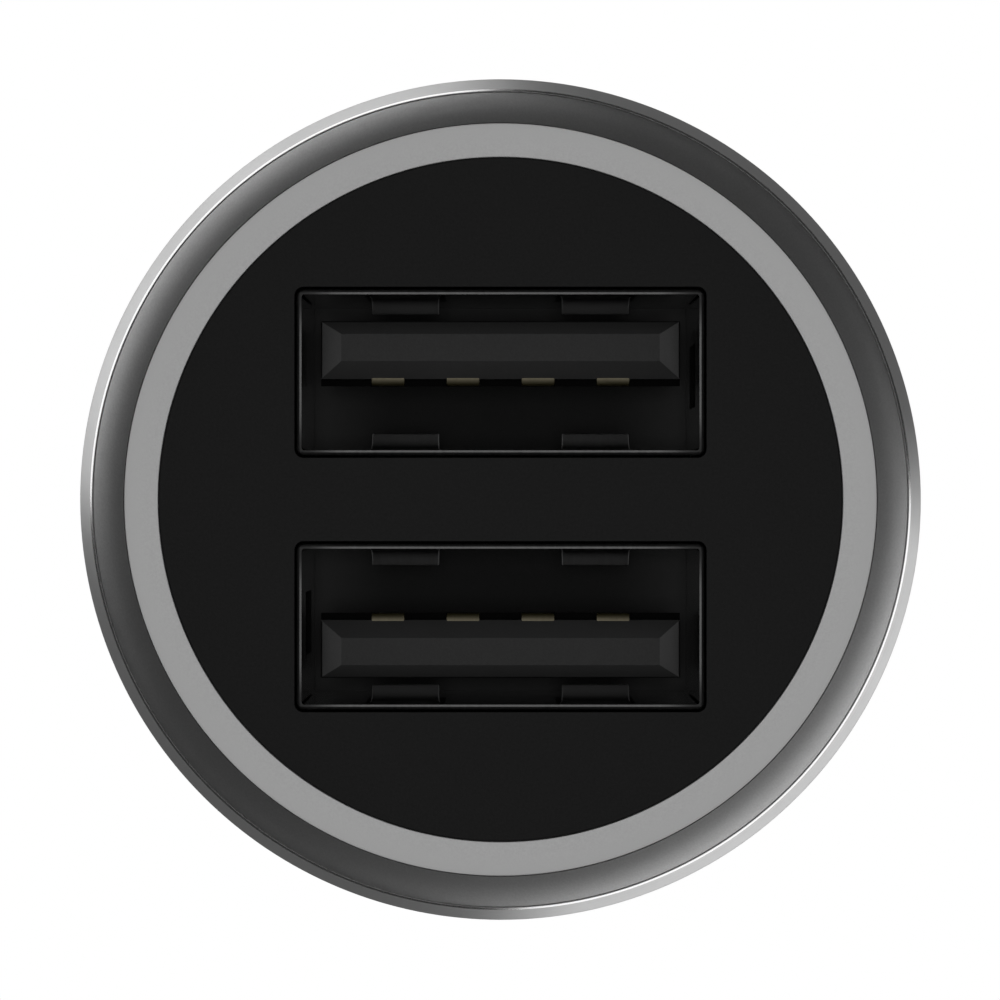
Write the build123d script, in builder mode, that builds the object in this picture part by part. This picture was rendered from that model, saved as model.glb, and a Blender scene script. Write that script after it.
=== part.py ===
from build123d import *
import os
from math import atan2, degrees, sqrt

# A car charger plug with two USB ports, for the 12 V socket of a dashboard. Sizes are in millimetres.
# The plug's axis is Y: the face with the ports looks to -Y, the centre contact points to +Y and Z is up.
# Y is 0 at the shoulder, the rear face of the head, which comes to rest on the rim of the socket.

# Head
head_diameter = 25.8
head_length = 19.0
head_wall = 2.0
shoulder_wall = 2.0
heel_chamfer = 0.7
rim_chamfer = 0.31
rim_land = 0.08
rim_step = 0.06
dish_width = 0.96
dish_radius = 1.75
face_depth = 0.75

# Barrel that goes into the socket
socket_bore = 21.0
collar_clearance = 0.15
collar_length = 5.5
collar_step = 0.2
barrel_wall = 1.15
barrel_length = 26.2
bore_lead = 0.25

# Light ring and face plate
ring_fit = 0.02
ring_width = 1.0
ledge_reach = 0.9
ledge_thickness = 1.0
face_gap = 0.03
face_thickness = 1.5
hook_width = 4.0
hook_thickness = 0.85
hook_depth = 0.7
hook_head = 0.9
hook_length = 6.2
hook_gap = 0.1
port_room = 0.2

# USB ports: a plug of 12.0 by 4.5 goes in, with its wall and insulator under the tongue
port_pitch = 7.832
port_width = 12.16
port_height = 4.8
port_corner = 0.14
port_wall = 0.16
slot_gap = 0.08
port_recess = 0.12
port_depth = 12.0
block_length = 2.2
block_fit = 0.03
plug_blade = 2.22
tongue_width = 11.0
tongue_thickness = 1.8
tongue_recess = 0.9
bevel_depth = 0.5
bevel_side = 0.57
bevel_near = 0.55
bevel_far = 0.41
contact_width = 1.02
contact_thickness = 0.22
contact_pitch = 2.33
contact_bend = 0.35
contact_foot = 0.9
leaf_offset = 2.96
leaf_root = 2.45
leaf_tip = 2.05
leaf_front = 0.9
leaf_length = 5.2
leaf_sag = 0.47
leaf_slit = 0.15
side_window_depth = 3.6
side_window_length = 5.0
side_window_height = 2.0
leg_length = 2.0
leg_depth = 7.5
foot_width = 10.0

# Board and the carrier halves that clamp it
board_thickness = 1.6
board_gap = 0.2
board_margin = 0.1
board_tail_gap = 1.4
ear_gap = 0.02
ear_length = 3.0
carrier_fit = 0.1
carrier_head_wall = 1.3
carrier_tail_wall = 0.8
carrier_web = 1.2
led_room = 2.2

# Ground springs
spring_width = 4.4
spring_thickness = 0.35
spring_proud = 0.75
spring_start = 0.7
tail_gap = 0.1
spring_lip = 1.2
roll_radius = 0.5
roll_play = 0.08
bore_play = 0.15
tail_bend = 1.2
window_play = 0.3
window_corner = 0.6
boss_front = 1.2
boss_rear = 1.0
boss_side = 1.0
boss_floor = 1.2

# Nose, tip cap and centre contact
spigot_length = 3.4
spigot_fit = 0.03
nose_wall = 1.2
nose_flange = 0.8
nose_cone = 5.0
cap_radius = 7.2
cap_wall = 1.2
cap_fit = 0.05
cap_end_wall = 1.2
cap_chamfer = 0.5
cap_flutes = 18
flute_radius = 0.45
neck_length = 4.0
chamber_radius = 4.6
terminal_hole = 2.2
terminal_thickness = 0.5
terminal_play = 0.1
strip_width = 2.0
strip_thickness = 0.4
strip_lap = 2.5
stem_radius = 3.0
stem_play = 0.06
stem_proud = 4.2
tip_dome = 1.0
plunger_flange = 1.2
flange_play = 0.2
flange_rest = 0.05
nub_radius = 2.6
nub_length = 1.0
coil_radius = 3.3
coil_wire = 0.6
coil_turns = 3.5

# Parts on the board
parts_gap = 0.6
can_diameter = 6.3
can_height = 5.4
can_base = 6.6
can_base_height = 0.9
can_base_cut = 1.2
can_groove = 0.25
inductor_size = 7.0
inductor_height = 4.0
inductor_corner = 1.2
inductor_cap = 5.6
inductor_step = 0.4
chip_length = 4.9
chip_width = 3.9
chip_height = 1.5
chip_draft = 0.15
chip_standoff = 0.1
chip_leg_pitch = 1.27
chip_leg_width = 0.42
chip_leg_reach = 1.05
chip_leg_thickness = 0.2
diode_length = 4.3
diode_width = 2.6
diode_height = 2.2
diode_tab = 1.4
fuse_length = 3.2
fuse_width = 1.6
fuse_height = 0.7
led_width = 1.6
led_depth = 0.8
led_height = 0.8
small_length = 1.6
small_width = 0.8
small_cap_height = 0.8
small_resistor_height = 0.45
small_pitch = 1.9
small_count = 4
small_end = 0.3

# Values that follow from the ones above
head_r = head_diameter / 2
rim_r = head_r - rim_chamfer
land_r = rim_r - rim_land
seat_r = land_r - dish_width
head_bore_r = head_r - head_wall
collar_r = socket_bore / 2 - collar_clearance
barrel_r = collar_r - collar_step
bore_r = barrel_r - barrel_wall
ring_r = seat_r - ring_fit
ring_inner_r = ring_r - ring_width
ledge_r = ring_inner_r - ledge_reach
face_r = ring_inner_r - face_gap
rim_y = -head_length
face_y = rim_y + face_depth
ledge_y = face_y + face_thickness
shelf_y = ledge_y + ledge_thickness
step_y = -shoulder_wall
port_z = port_pitch / 2
port_y = face_y + port_recess
port_back = port_y + port_depth + block_length
block_y = port_back - block_length
outer_width = port_width + 2 * port_wall
outer_height = port_height + 2 * port_wall
room_width = outer_width + 2 * port_room
room_height = port_pitch + outer_height + 2 * port_room
pad_z = port_z - port_height / 2 + plug_blade
tip_y = port_y + tongue_recess
board_z = board_thickness / 2
board_front = shelf_y + board_gap
carrier_head_r = head_bore_r - carrier_fit
carrier_inner_r = carrier_head_r - carrier_head_wall
carrier_tail_r = bore_r - carrier_fit
carrier_front = shelf_y + led_room
nose_y = barrel_length - spigot_length
carrier_back = nose_y - carrier_fit
board_back = carrier_back - board_tail_gap
flat_r = sqrt(bore_r**2 - (spring_width / 2) ** 2)
roll_y = collar_length + spring_start
roll_z = flat_r - bore_play - roll_radius
tail_z = flat_r - bore_play - spring_thickness / 2
bow_y = nose_y - tail_gap - spring_lip - tail_bend
apex_z = barrel_r + spring_proud - spring_thickness / 2
window_front = roll_y
hook_top = sqrt(carrier_inner_r**2 - (hook_width / 2) ** 2) - hook_gap
hook_y = ledge_y + hook_length
cone_y = barrel_length + nose_flange + nose_cone
neck_y = cone_y + neck_length
cap_y = neck_y + cap_fit + cap_end_wall
neck_r = cap_radius - cap_wall
chamber_y = nose_y + nose_wall
terminal_y = chamber_y + terminal_thickness
flange_rear = neck_y - flange_rest
flange_front = flange_rear - plunger_flange
tip_end = cap_y + stem_proud
dome_r = (stem_radius**2 + tip_dome**2) / (2 * tip_dome)
parts_y = port_back + contact_bend + contact_foot + parts_gap


def station(y):
    """Sketch plane across the axis at y, seen from the face: x right, z up."""
    return Plane.XZ.offset(-y)


os.makedirs("parts", exist_ok=True)

# Outer shell: one turned piece, with the dish and its bright rim in front and two spring windows in the barrel
with BuildPart() as outer_shell:
    with BuildSketch():
        with BuildLine():
            Polyline(
                (land_r, rim_y + rim_step),
                (land_r, rim_y),
                (rim_r, rim_y),
                (head_r, rim_y + rim_chamfer),
                (head_r, -heel_chamfer),
                (head_r - heel_chamfer, 0),
                (collar_r, 0),
                (collar_r, collar_length),
                (barrel_r, collar_length + collar_step),
                (barrel_r, barrel_length),
                (bore_r + bore_lead, barrel_length),
                (bore_r, barrel_length - bore_lead),
                (bore_r, step_y),
                (head_bore_r, step_y),
                (head_bore_r, shelf_y),
                (seat_r, shelf_y),
                (seat_r, face_y),
            )
            RadiusArc((seat_r, face_y), (land_r, rim_y + rim_step), -dish_radius)
        make_face()
    revolve(axis=Axis.Y)
    with BuildLine(mode=Mode.PRIVATE):
        bow = ThreePointArc(
            (roll_y, roll_z),
            ((roll_y + bow_y) / 2, apex_z),
            (bow_y, tail_z + tail_bend * 0.2),
        )
    tail_turn = -degrees(atan2((bow % 1).Y, (bow % 1).X))
    with BuildLine(mode=Mode.PRIVATE):
        curl = JernArc(start=bow @ 1, tangent=bow % 1, radius=tail_bend, arc_size=tail_turn)
    window_back = (curl @ 1).X + window_play
    with BuildSketch(Plane.XY):
        with Locations((0, (window_front + window_back) / 2)):
            RectangleRounded(
                spring_width + 2 * window_play,
                window_back - window_front,
                window_corner,
            )
    extrude(amount=head_r, both=True, mode=Mode.SUBTRACT)
outer_shell.part.label = "outer_shell"
export_step(outer_shell.part, "parts/outer_shell.step")

# Light ring: a diffuser with a ledge behind it that carries the face plate
with BuildPart() as light_ring:
    with BuildSketch():
        with BuildLine():
            Polyline(
                (ring_inner_r, face_y),
                (ring_r, face_y),
                (ring_r, shelf_y),
                (ledge_r, shelf_y),
                (ledge_r, ledge_y),
                (ring_inner_r, ledge_y),
                close=True,
            )
        make_face()
    revolve(axis=Axis.Y)
    with BuildSketch(station(shelf_y)):
        Rectangle(room_width, room_height)
    extrude(amount=ledge_thickness, mode=Mode.SUBTRACT)
light_ring.part.label = "light_ring"
export_step(light_ring.part, "parts/light_ring.step")

# Face plate: black disc with a slot for each port and two hooks that snap into the carrier
slot_width = outer_width + 2 * slot_gap
slot_height = outer_height + 2 * slot_gap
with BuildPart() as face_plate:
    with BuildSketch(station(face_y)):
        Circle(face_r)
        with Locations((0, port_z), (0, -port_z)):
            RectangleRounded(
                slot_width, slot_height, port_corner + port_wall + slot_gap, mode=Mode.SUBTRACT
            )
    extrude(amount=-face_thickness)
    with BuildSketch(Plane.YZ):
        with BuildLine():
            Polyline(
                (ledge_y, hook_top),
                (hook_y - hook_head, hook_top),
                (hook_y - hook_head, hook_top + hook_depth),
                (hook_y, hook_top),
                (hook_y, hook_top - hook_thickness),
                (ledge_y, hook_top - hook_thickness),
                close=True,
            )
        make_face()
        mirror(about=Plane.XZ)
    extrude(amount=hook_width / 2, both=True)
face_plate.part.label = "face_plate"
export_step(face_plate.part, "parts/face_plate.step")

# One spring leaf of a USB shell, bowed inwards from the upper wall
leaf_y = port_y + leaf_front
wall_z = port_z + port_height / 2 + port_wall / 2
with BuildPart() as usb_leaf:
    with BuildSketch(Plane.YZ):
        with BuildLine():
            ThreePointArc(
                (leaf_y - leaf_slit, wall_z),
                (leaf_y + leaf_length / 2, wall_z - leaf_sag),
                (leaf_y + leaf_length, wall_z - leaf_sag / 4),
            )
        trace(line_width=port_wall)
    extrude(amount=leaf_root / 2, both=True)
    with BuildSketch(Plane.XY):
        with BuildLine():
            Polyline(
                (-leaf_root / 2, leaf_y - 2 * leaf_slit),
                (leaf_root / 2, leaf_y - 2 * leaf_slit),
                (leaf_tip / 2, leaf_y + leaf_length / 2),
                (leaf_tip / 2, leaf_y + 2 * leaf_length),
                (-leaf_tip / 2, leaf_y + 2 * leaf_length),
                (-leaf_tip / 2, leaf_y + leaf_length / 2),
                close=True,
            )
        make_face()
    extrude(amount=head_r, mode=Mode.INTERSECT)

# USB shell, upper: folded sheet with four leaves, a side window and two legs that stand on the board
mid_plane = Plane.XY.offset(port_z)
with BuildPart() as usb_shell:
    with BuildSketch(station(port_y)):
        with Locations((0, port_z)):
            RectangleRounded(outer_width, outer_height, port_corner + port_wall)
            RectangleRounded(port_width, port_height, port_corner, mode=Mode.SUBTRACT)
    extrude(amount=-(port_back - port_y))
    with BuildSketch(mid_plane):
        with Locations(
            (-leaf_offset, leaf_y + (leaf_length + leaf_slit) / 2),
            (leaf_offset, leaf_y + (leaf_length + leaf_slit) / 2),
        ):
            Rectangle(leaf_root + 2 * leaf_slit, leaf_length + leaf_slit)
    extrude(amount=outer_height, both=True, mode=Mode.SUBTRACT)
    with BuildSketch(Plane.YZ):
        with Locations((port_y + side_window_depth + side_window_length / 2, port_z)):
            Rectangle(side_window_length, side_window_height)
    extrude(amount=outer_width, mode=Mode.SUBTRACT)
    with BuildSketch(mid_plane):
        with Locations((0, port_back - block_length / 2)):
            Rectangle(foot_width + 2 * block_fit, block_length)
    extrude(amount=-outer_height, mode=Mode.SUBTRACT)
    with Locations((-leaf_offset, 0, 0), (leaf_offset, 0, 0)):
        add(usb_leaf.part)
        add(usb_leaf.part.mirror(mid_plane))
    with BuildSketch(Plane.XY.offset(board_z)):
        for side in (-1, 1):
            with Locations((side * (port_width + port_wall) / 2, port_y + leg_depth)):
                Rectangle(port_wall, leg_length)
    extrude(amount=port_z - board_z)

# USB insulator, upper: the tongue with a bevelled tip, and the block that closes the shell and stands on the board
tongue_z = pad_z + tongue_thickness / 2
nose_height = tongue_thickness - bevel_near - bevel_far
with BuildPart() as usb_insulator:
    with BuildSketch(station(tip_y)):
        with Locations((0, pad_z + bevel_near + nose_height / 2)):
            Rectangle(tongue_width - 2 * bevel_side, nose_height)
    with BuildSketch(station(tip_y + bevel_depth)):
        with Locations((0, tongue_z)):
            Rectangle(tongue_width, tongue_thickness)
    loft()
    with BuildSketch(station(tip_y + bevel_depth)):
        with Locations((0, tongue_z)):
            Rectangle(tongue_width, tongue_thickness)
    extrude(amount=-(block_y - tip_y - bevel_depth))
    with BuildSketch(station(block_y)):
        with Locations((0, port_z)):
            RectangleRounded(port_width - 2 * block_fit, port_height - 2 * block_fit, port_corner)
    extrude(amount=-block_length)
    with BuildSketch(Plane.XY.offset(board_z)):
        with Locations((0, port_back - block_length / 2)):
            Rectangle(foot_width, block_length)
    extrude(amount=port_z - board_z - port_height / 2 + port_wall)
    with BuildSketch(station(block_y)):
        with Locations((0, pad_z - contact_thickness / 2)):
            with GridLocations(contact_pitch, 0, 4, 1):
                Rectangle(contact_width + 2 * block_fit, contact_thickness)
    extrude(amount=-block_length, mode=Mode.SUBTRACT)

# USB contacts, upper: four strips along the tongue, each bent down to a foot on the board
strip_z = pad_z - contact_thickness / 2
contact_end = port_back + contact_bend
with BuildPart() as usb_contacts:
    with BuildSketch(Plane.YZ):
        with BuildLine():
            Polyline(
                (tip_y + bevel_depth, strip_z),
                (contact_end, strip_z),
                (contact_end, board_z + contact_thickness / 2),
                (contact_end + contact_foot, board_z + contact_thickness / 2),
            )
        trace(line_width=contact_thickness)
    extrude(amount=contact_width / 2, both=True)
    strip = usb_contacts.part
contact_row = [
    strip.moved(Location(((i - 1.5) * contact_pitch, 0, 0))) for i in range(4)
]

# The lower port is the upper one turned half round about the axis
for place, turn in (("upper", 0), ("lower", 180)):
    shell = usb_shell.part.rotate(Axis.Y, turn)
    shell.label = f"usb_shell_{place}"
    export_step(shell, f"parts/usb_shell_{place}.step")
    insulator = usb_insulator.part.rotate(Axis.Y, turn)
    insulator.label = f"usb_insulator_{place}"
    export_step(insulator, f"parts/usb_insulator_{place}.step")
    contacts = Compound([one.rotate(Axis.Y, turn) for one in contact_row])
    contacts.label = f"usb_contacts_{place}"
    export_step(contacts, f"parts/usb_contacts_{place}.step")

# Main board: wide in the head, narrow in the barrel, with two plated ears that reach the barrel's bore for ground
board_head = carrier_head_r - board_margin
board_tail = carrier_tail_r - board_margin
board_step = step_y - board_margin
ear_y = board_back - strip_lap - ear_length
with BuildPart() as main_board:
    with BuildSketch(Plane.XY.offset(-board_z)):
        with Locations((0, (board_front + board_step) / 2)):
            Rectangle(2 * board_head, board_step - board_front)
        with Locations((0, (board_front + board_back) / 2)):
            Rectangle(2 * board_tail, board_back - board_front)
        with Locations((0, ear_y)):
            Rectangle(2 * sqrt((bore_r - ear_gap) ** 2 - board_z**2), ear_length)
    extrude(amount=board_thickness)
    chamfer(main_board.edges().filter_by(Axis.Z).group_by(Axis.Y)[-1], board_tail_gap)
main_board.part.label = "main_board"
export_step(main_board.part, "parts/main_board.step")

# Carrier half, upper: a stepped half tube on the board, with a trough for the spring's roll and a hook window
with BuildPart() as carrier:
    with BuildSketch(station(carrier_front)):
        Circle(carrier_head_r)
        Circle(carrier_inner_r, mode=Mode.SUBTRACT)
        with Locations((0, board_z - head_diameter / 2)):
            Rectangle(head_diameter, head_diameter, mode=Mode.SUBTRACT)
        Rectangle(room_width, room_height, mode=Mode.SUBTRACT)
    extrude(amount=-(step_y - carrier_front))
    with BuildSketch(station(step_y - carrier_web)):
        Circle(carrier_head_r)
        Circle(carrier_tail_r - carrier_tail_wall, mode=Mode.SUBTRACT)
        with Locations((0, board_z - head_diameter / 2)):
            Rectangle(head_diameter, head_diameter, mode=Mode.SUBTRACT)
    extrude(amount=-carrier_web)
    with BuildSketch(station(step_y)):
        Circle(carrier_tail_r)
        Circle(carrier_tail_r - carrier_tail_wall, mode=Mode.SUBTRACT)
        with Locations((0, board_z - head_diameter / 2)):
            Rectangle(head_diameter, head_diameter, mode=Mode.SUBTRACT)
    extrude(amount=-(carrier_back - step_y))
    with BuildSketch(station(roll_y - boss_front)):
        Circle(carrier_tail_r)
        with Locations((0, roll_z - boss_floor + head_diameter / 2)):
            Rectangle(spring_width + 2 * boss_side, head_diameter, mode=Mode.INTERSECT)
    extrude(amount=-(boss_front + boss_rear))
    with BuildSketch(Plane.YZ):
        with Locations((roll_y, roll_z)):
            Circle(roll_radius + roll_play)
        with BuildLine():
            Polyline(
                (roll_y - roll_radius - roll_play, roll_z),
                (roll_y + boss_rear, roll_z),
                (roll_y + boss_rear, roll_z - boss_floor),
                (carrier_back, roll_z - boss_floor),
                (carrier_back, barrel_r),
                (roll_y - roll_radius - roll_play, barrel_r),
                close=True,
            )
        make_face()
    extrude(amount=spring_width / 2 + window_play / 2, both=True, mode=Mode.SUBTRACT)
    with BuildSketch(Plane.XY):
        with Locations((0, hook_y - hook_head / 2)):
            Rectangle(hook_width + 2 * hook_gap, hook_head + 2 * hook_gap)
    extrude(amount=head_r, mode=Mode.SUBTRACT)
for place, turn in (("upper", 0), ("lower", 180)):
    half = carrier.part.rotate(Axis.Y, turn)
    half.label = f"carrier_{place}"
    export_step(half, f"parts/carrier_{place}.step")

# Ground spring, upper: a leaf with a rolled end in the carrier's trough, bowed out through the barrel's window
with BuildPart() as ground_spring:
    with BuildSketch(Plane.YZ):
        with BuildLine():
            add(bow)
            add(curl)
            Line(curl @ 1, curl @ 1 + Vector(spring_lip, 0))
        trace(line_width=spring_thickness)
        with Locations((roll_y, roll_z)):
            Circle(roll_radius)
    extrude(amount=spring_width / 2, both=True)
for place, turn in (("upper", 0), ("lower", 180)):
    spring = ground_spring.part.rotate(Axis.Y, turn)
    spring.label = f"ground_spring_{place}"
    export_step(spring, f"parts/ground_spring_{place}.step")

# Nose body: insulating plug in the barrel's end, with the chamber of the centre contact
with BuildPart() as nose_body:
    with BuildSketch():
        with BuildLine():
            Polyline(
                (terminal_hole, nose_y),
                (bore_r - spigot_fit - bore_lead, nose_y),
                (bore_r - spigot_fit, nose_y + bore_lead),
                (bore_r - spigot_fit, barrel_length),
                (barrel_r, barrel_length),
                (barrel_r, barrel_length + nose_flange),
                (cap_radius, cone_y),
                (neck_r - cap_fit, cone_y),
                (neck_r - cap_fit, neck_y),
                (chamber_radius, neck_y),
                (chamber_radius, chamber_y),
                (terminal_hole, chamber_y),
                close=True,
            )
        make_face()
    revolve(axis=Axis.Y)
nose_body.part.label = "nose_body"
export_step(nose_body.part, "parts/nose_body.step")

# Tip cap: screwed on the nose's neck, keeps the centre contact in; fluted for the fingers
with BuildPart() as tip_cap:
    with BuildSketch():
        with BuildLine():
            Polyline(
                (neck_r, cone_y),
                (cap_radius, cone_y),
                (cap_radius, cap_y - cap_chamfer),
                (cap_radius - cap_chamfer, cap_y),
                (stem_radius + stem_play, cap_y),
                (stem_radius + stem_play, neck_y),
                (neck_r, neck_y),
                close=True,
            )
        make_face()
    revolve(axis=Axis.Y)
    with BuildSketch(station(cone_y + cap_chamfer)):
        with PolarLocations(cap_radius, cap_flutes):
            RegularPolygon(flute_radius, 4)
    extrude(amount=-(cap_y - cone_y), mode=Mode.SUBTRACT)
tip_cap.part.label = "tip_cap"
export_step(tip_cap.part, "parts/tip_cap.step")

# Centre contact: a plunger with a flange behind the cap and a nub that centres its coil spring
with BuildPart() as centre_contact:
    with BuildSketch():
        with BuildLine():
            Polyline(
                (stem_radius, tip_end - tip_dome),
                (stem_radius, flange_rear),
                (chamber_radius - flange_play, flange_rear),
                (chamber_radius - flange_play, flange_front),
                (nub_radius, flange_front),
                (nub_radius, flange_front - nub_length),
                (0, flange_front - nub_length),
                (0, tip_end),
            )
            RadiusArc((0, tip_end), (stem_radius, tip_end - tip_dome), dome_r)
        make_face()
    revolve(axis=Axis.Y)
centre_contact.part.label = "centre_contact"
export_step(centre_contact.part, "parts/centre_contact.step")

# Coil spring between the terminal and the plunger's flange
coil_start = terminal_y + coil_wire / 2
coil_height = flange_front - terminal_y - coil_wire
with BuildPart() as tip_spring:
    with BuildLine() as coil:
        Helix(
            pitch=coil_height / coil_turns,
            height=coil_height,
            radius=coil_radius,
            center=(0, coil_start, 0),
            direction=(0, 1, 0),
        )
    with BuildSketch(Plane(origin=coil.line @ 0, z_dir=coil.line % 0)):
        RegularPolygon(coil_wire / 2, 6)
    sweep(path=coil.line, is_frenet=True)
tip_spring.part.label = "tip_spring"
export_step(tip_spring.part, "parts/tip_spring.step")

# Positive terminal: a disc under the spring, with a strip that laps over the board's end
with BuildPart() as positive_terminal:
    with BuildSketch(station(chamber_y)):
        Circle(chamber_radius - terminal_play)
    extrude(amount=-terminal_thickness)
    with BuildSketch(Plane.XY.offset(board_z)):
        with Locations((0, (board_back - strip_lap + terminal_y) / 2)):
            Rectangle(strip_width, terminal_y - board_back + strip_lap)
    extrude(amount=strip_thickness)
positive_terminal.part.label = "positive_terminal"
export_step(positive_terminal.part, "parts/positive_terminal.step")

# Power inductor: rounded ferrite block with a round cap, on the board behind the ports
inductor_y = parts_y + inductor_size / 2
with BuildPart() as power_inductor:
    with BuildSketch(Plane.XY.offset(board_z)):
        with Locations((0, inductor_y)):
            RectangleRounded(inductor_size, inductor_size, inductor_corner)
    extrude(amount=inductor_height - inductor_step)
    with BuildSketch(Plane.XY.offset(board_z + inductor_height - inductor_step)):
        with Locations((0, inductor_y)):
            Circle(inductor_cap / 2)
    extrude(amount=inductor_step)
power_inductor.part.label = "power_inductor"
export_step(power_inductor.part, "parts/power_inductor.step")

# Capacitor can on its base, standing on the board's upper side at the origin
with BuildPart() as can:
    with BuildSketch(Plane.XY.offset(board_z)) as base:
        Rectangle(can_base, can_base)
        chamfer(base.vertices().group_by(Axis.Y)[0], can_base_cut)
    extrude(amount=can_base_height)
    with BuildSketch(Plane.XZ):
        with BuildLine():
            Polyline(
                (0, board_z + can_base_height),
                (can_diameter / 2, board_z + can_base_height),
                (can_diameter / 2, board_z + can_base_height + can_groove),
                (can_diameter / 2 - can_groove, board_z + can_base_height + 2 * can_groove),
                (can_diameter / 2, board_z + can_base_height + 3 * can_groove),
                (can_diameter / 2, board_z + can_height - can_groove),
                (can_diameter / 2 - can_groove, board_z + can_height),
                (0, board_z + can_height),
                close=True,
            )
        make_face()
    revolve(axis=Axis.Z)
input_y = inductor_y + inductor_size / 2 + parts_gap + can_base / 2
input_capacitor = can.part.moved(Location((0, input_y, 0)))
input_capacitor.label = "input_capacitor"
export_step(input_capacitor, "parts/input_capacitor.step")
output_y = parts_y + can_base / 2
output_capacitor = can.part.rotate(Axis.Y, 180).moved(Location((0, output_y, 0)))
output_capacitor.label = "output_capacitor"
export_step(output_capacitor, "parts/output_capacitor.step")

# Gull-wing chip on the board's upper side at the origin, its length along Y
with BuildPart() as chip:
    with BuildSketch(Plane.XY.offset(board_z + chip_standoff)):
        Rectangle(chip_width, chip_length)
    extrude(amount=chip_height - chip_standoff)
    chamfer(chip.edges().group_by(Axis.Z)[-1], chip_draft)
    with BuildSketch(Plane.XZ):
        with BuildLine():
            Polyline(
                (chip_width / 2 - chip_draft, board_z + chip_height / 2),
                (chip_width / 2 + chip_leg_reach / 3, board_z + chip_height / 2),
                (chip_width / 2 + chip_leg_reach / 2, board_z + chip_leg_thickness / 2),
                (chip_width / 2 + chip_leg_reach, board_z + chip_leg_thickness / 2),
            )
        trace(line_width=chip_leg_thickness)
        mirror(about=Plane.YZ)
    legs = extrude(amount=chip_leg_width / 2, both=True, mode=Mode.PRIVATE)
    with GridLocations(0, chip_leg_pitch, 1, 4):
        add(legs)
charging_y = output_y + can_base / 2 + parts_gap + chip_length / 2
charging_chip = chip.part.rotate(Axis.Y, 180).moved(Location((0, charging_y, 0)))
charging_chip.label = "charging_chip"
export_step(charging_chip, "parts/charging_chip.step")
converter_y = charging_y + chip_length + parts_gap
converter_chip = chip.part.rotate(Axis.Y, 180).moved(Location((0, converter_y, 0)))
converter_chip.label = "converter_chip"
export_step(converter_chip, "parts/converter_chip.step")

# Rectifier: moulded block with a tab folded under each end, between the input capacitor and the terminal's strip
diode_y = input_y + can_base / 2 + parts_gap + diode_width / 2
with BuildPart() as rectifier:
    with BuildSketch(Plane.XY.offset(board_z + chip_leg_thickness)):
        with Locations((0, diode_y)):
            Rectangle(diode_length, diode_width)
    extrude(amount=diode_height - chip_leg_thickness, taper=6)
    with BuildSketch(Plane.XY.offset(board_z)):
        with Locations((-diode_length / 2, diode_y), (diode_length / 2, diode_y)):
            Rectangle(diode_tab, diode_width / 2)
    extrude(amount=chip_leg_thickness * 2)
rectifier.part.label = "rectifier"
export_step(rectifier.part, "parts/rectifier.step")

# Input fuse: a block with end caps, beside the terminal's strip
fuse_x = (diode_length + diode_tab) / 2 + parts_gap + fuse_width / 2
fuse_y = board_back - strip_lap
with BuildPart() as input_fuse:
    with BuildSketch(Plane.XY.offset(board_z)):
        with Locations((fuse_x, fuse_y)):
            Rectangle(fuse_width, fuse_length)
    extrude(amount=fuse_height)
    chamfer(input_fuse.edges().filter_by(Axis.Y).group_by(Axis.Z)[-1], small_end / 2)
input_fuse.part.label = "input_fuse"
export_step(input_fuse.part, "parts/input_fuse.step")

# Two indicator lamps at the board's front edge, right behind the light ring's ledge
led_x = ledge_r
with BuildPart() as lamp:
    with BuildSketch(Plane.XY.offset(board_z)):
        with Locations((0, board_front + led_depth / 2)):
            Rectangle(led_width, led_depth)
    extrude(amount=led_height)
    chamfer(lamp.edges().filter_by(Axis.Y).group_by(Axis.Z)[-1], small_end / 2)
lamps = Compound([lamp.part.moved(Location((side * led_x, 0, 0))) for side in (-1, 1)])
lamps.label = "indicator_leds"
export_step(lamps, "parts/indicator_leds.step")

# Rows of chip capacitors and chip resistors on the board's free margins beside the ports
row_x = (outer_width / 2 + carrier_inner_r) / 2
row_y = carrier_front + small_pitch
for name, height, side in (
    ("chip_capacitors", small_cap_height, 1),
    ("chip_resistors", small_resistor_height, -1),
):
    with BuildPart() as small:
        with BuildSketch(Plane.XY.offset(board_z)):
            Rectangle(small_length, small_width)
        extrude(amount=height)
        chamfer(small.edges().filter_by(Axis.Y).group_by(Axis.Z)[-1], small_end / 2)
    row = [
        small.part.moved(Location((side * row_x, row_y + i * small_pitch, 0)))
        for i in range(small_count)
    ]
    group = Compound(row)
    group.label = name
    export_step(group, f"parts/{name}.step")
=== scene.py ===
# %% [markdown]
# # A car charger plug with two USB ports
#
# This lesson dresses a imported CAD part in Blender. The plug is a turned aluminium shell with a black face, a grey
# light ring and two stacked USB ports in front, and a barrel with ground springs and a sprung contact behind.
# The CAD solids are the fixed frame: every piece made here lies where its solid lies, in metres, and takes its place.
# The sizes in the cells are in millimetres, because that is how a workshop drawing of such a plug is written.

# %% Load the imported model
import math

import bmesh
import bpy
from mathutils import Matrix, Vector


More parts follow.
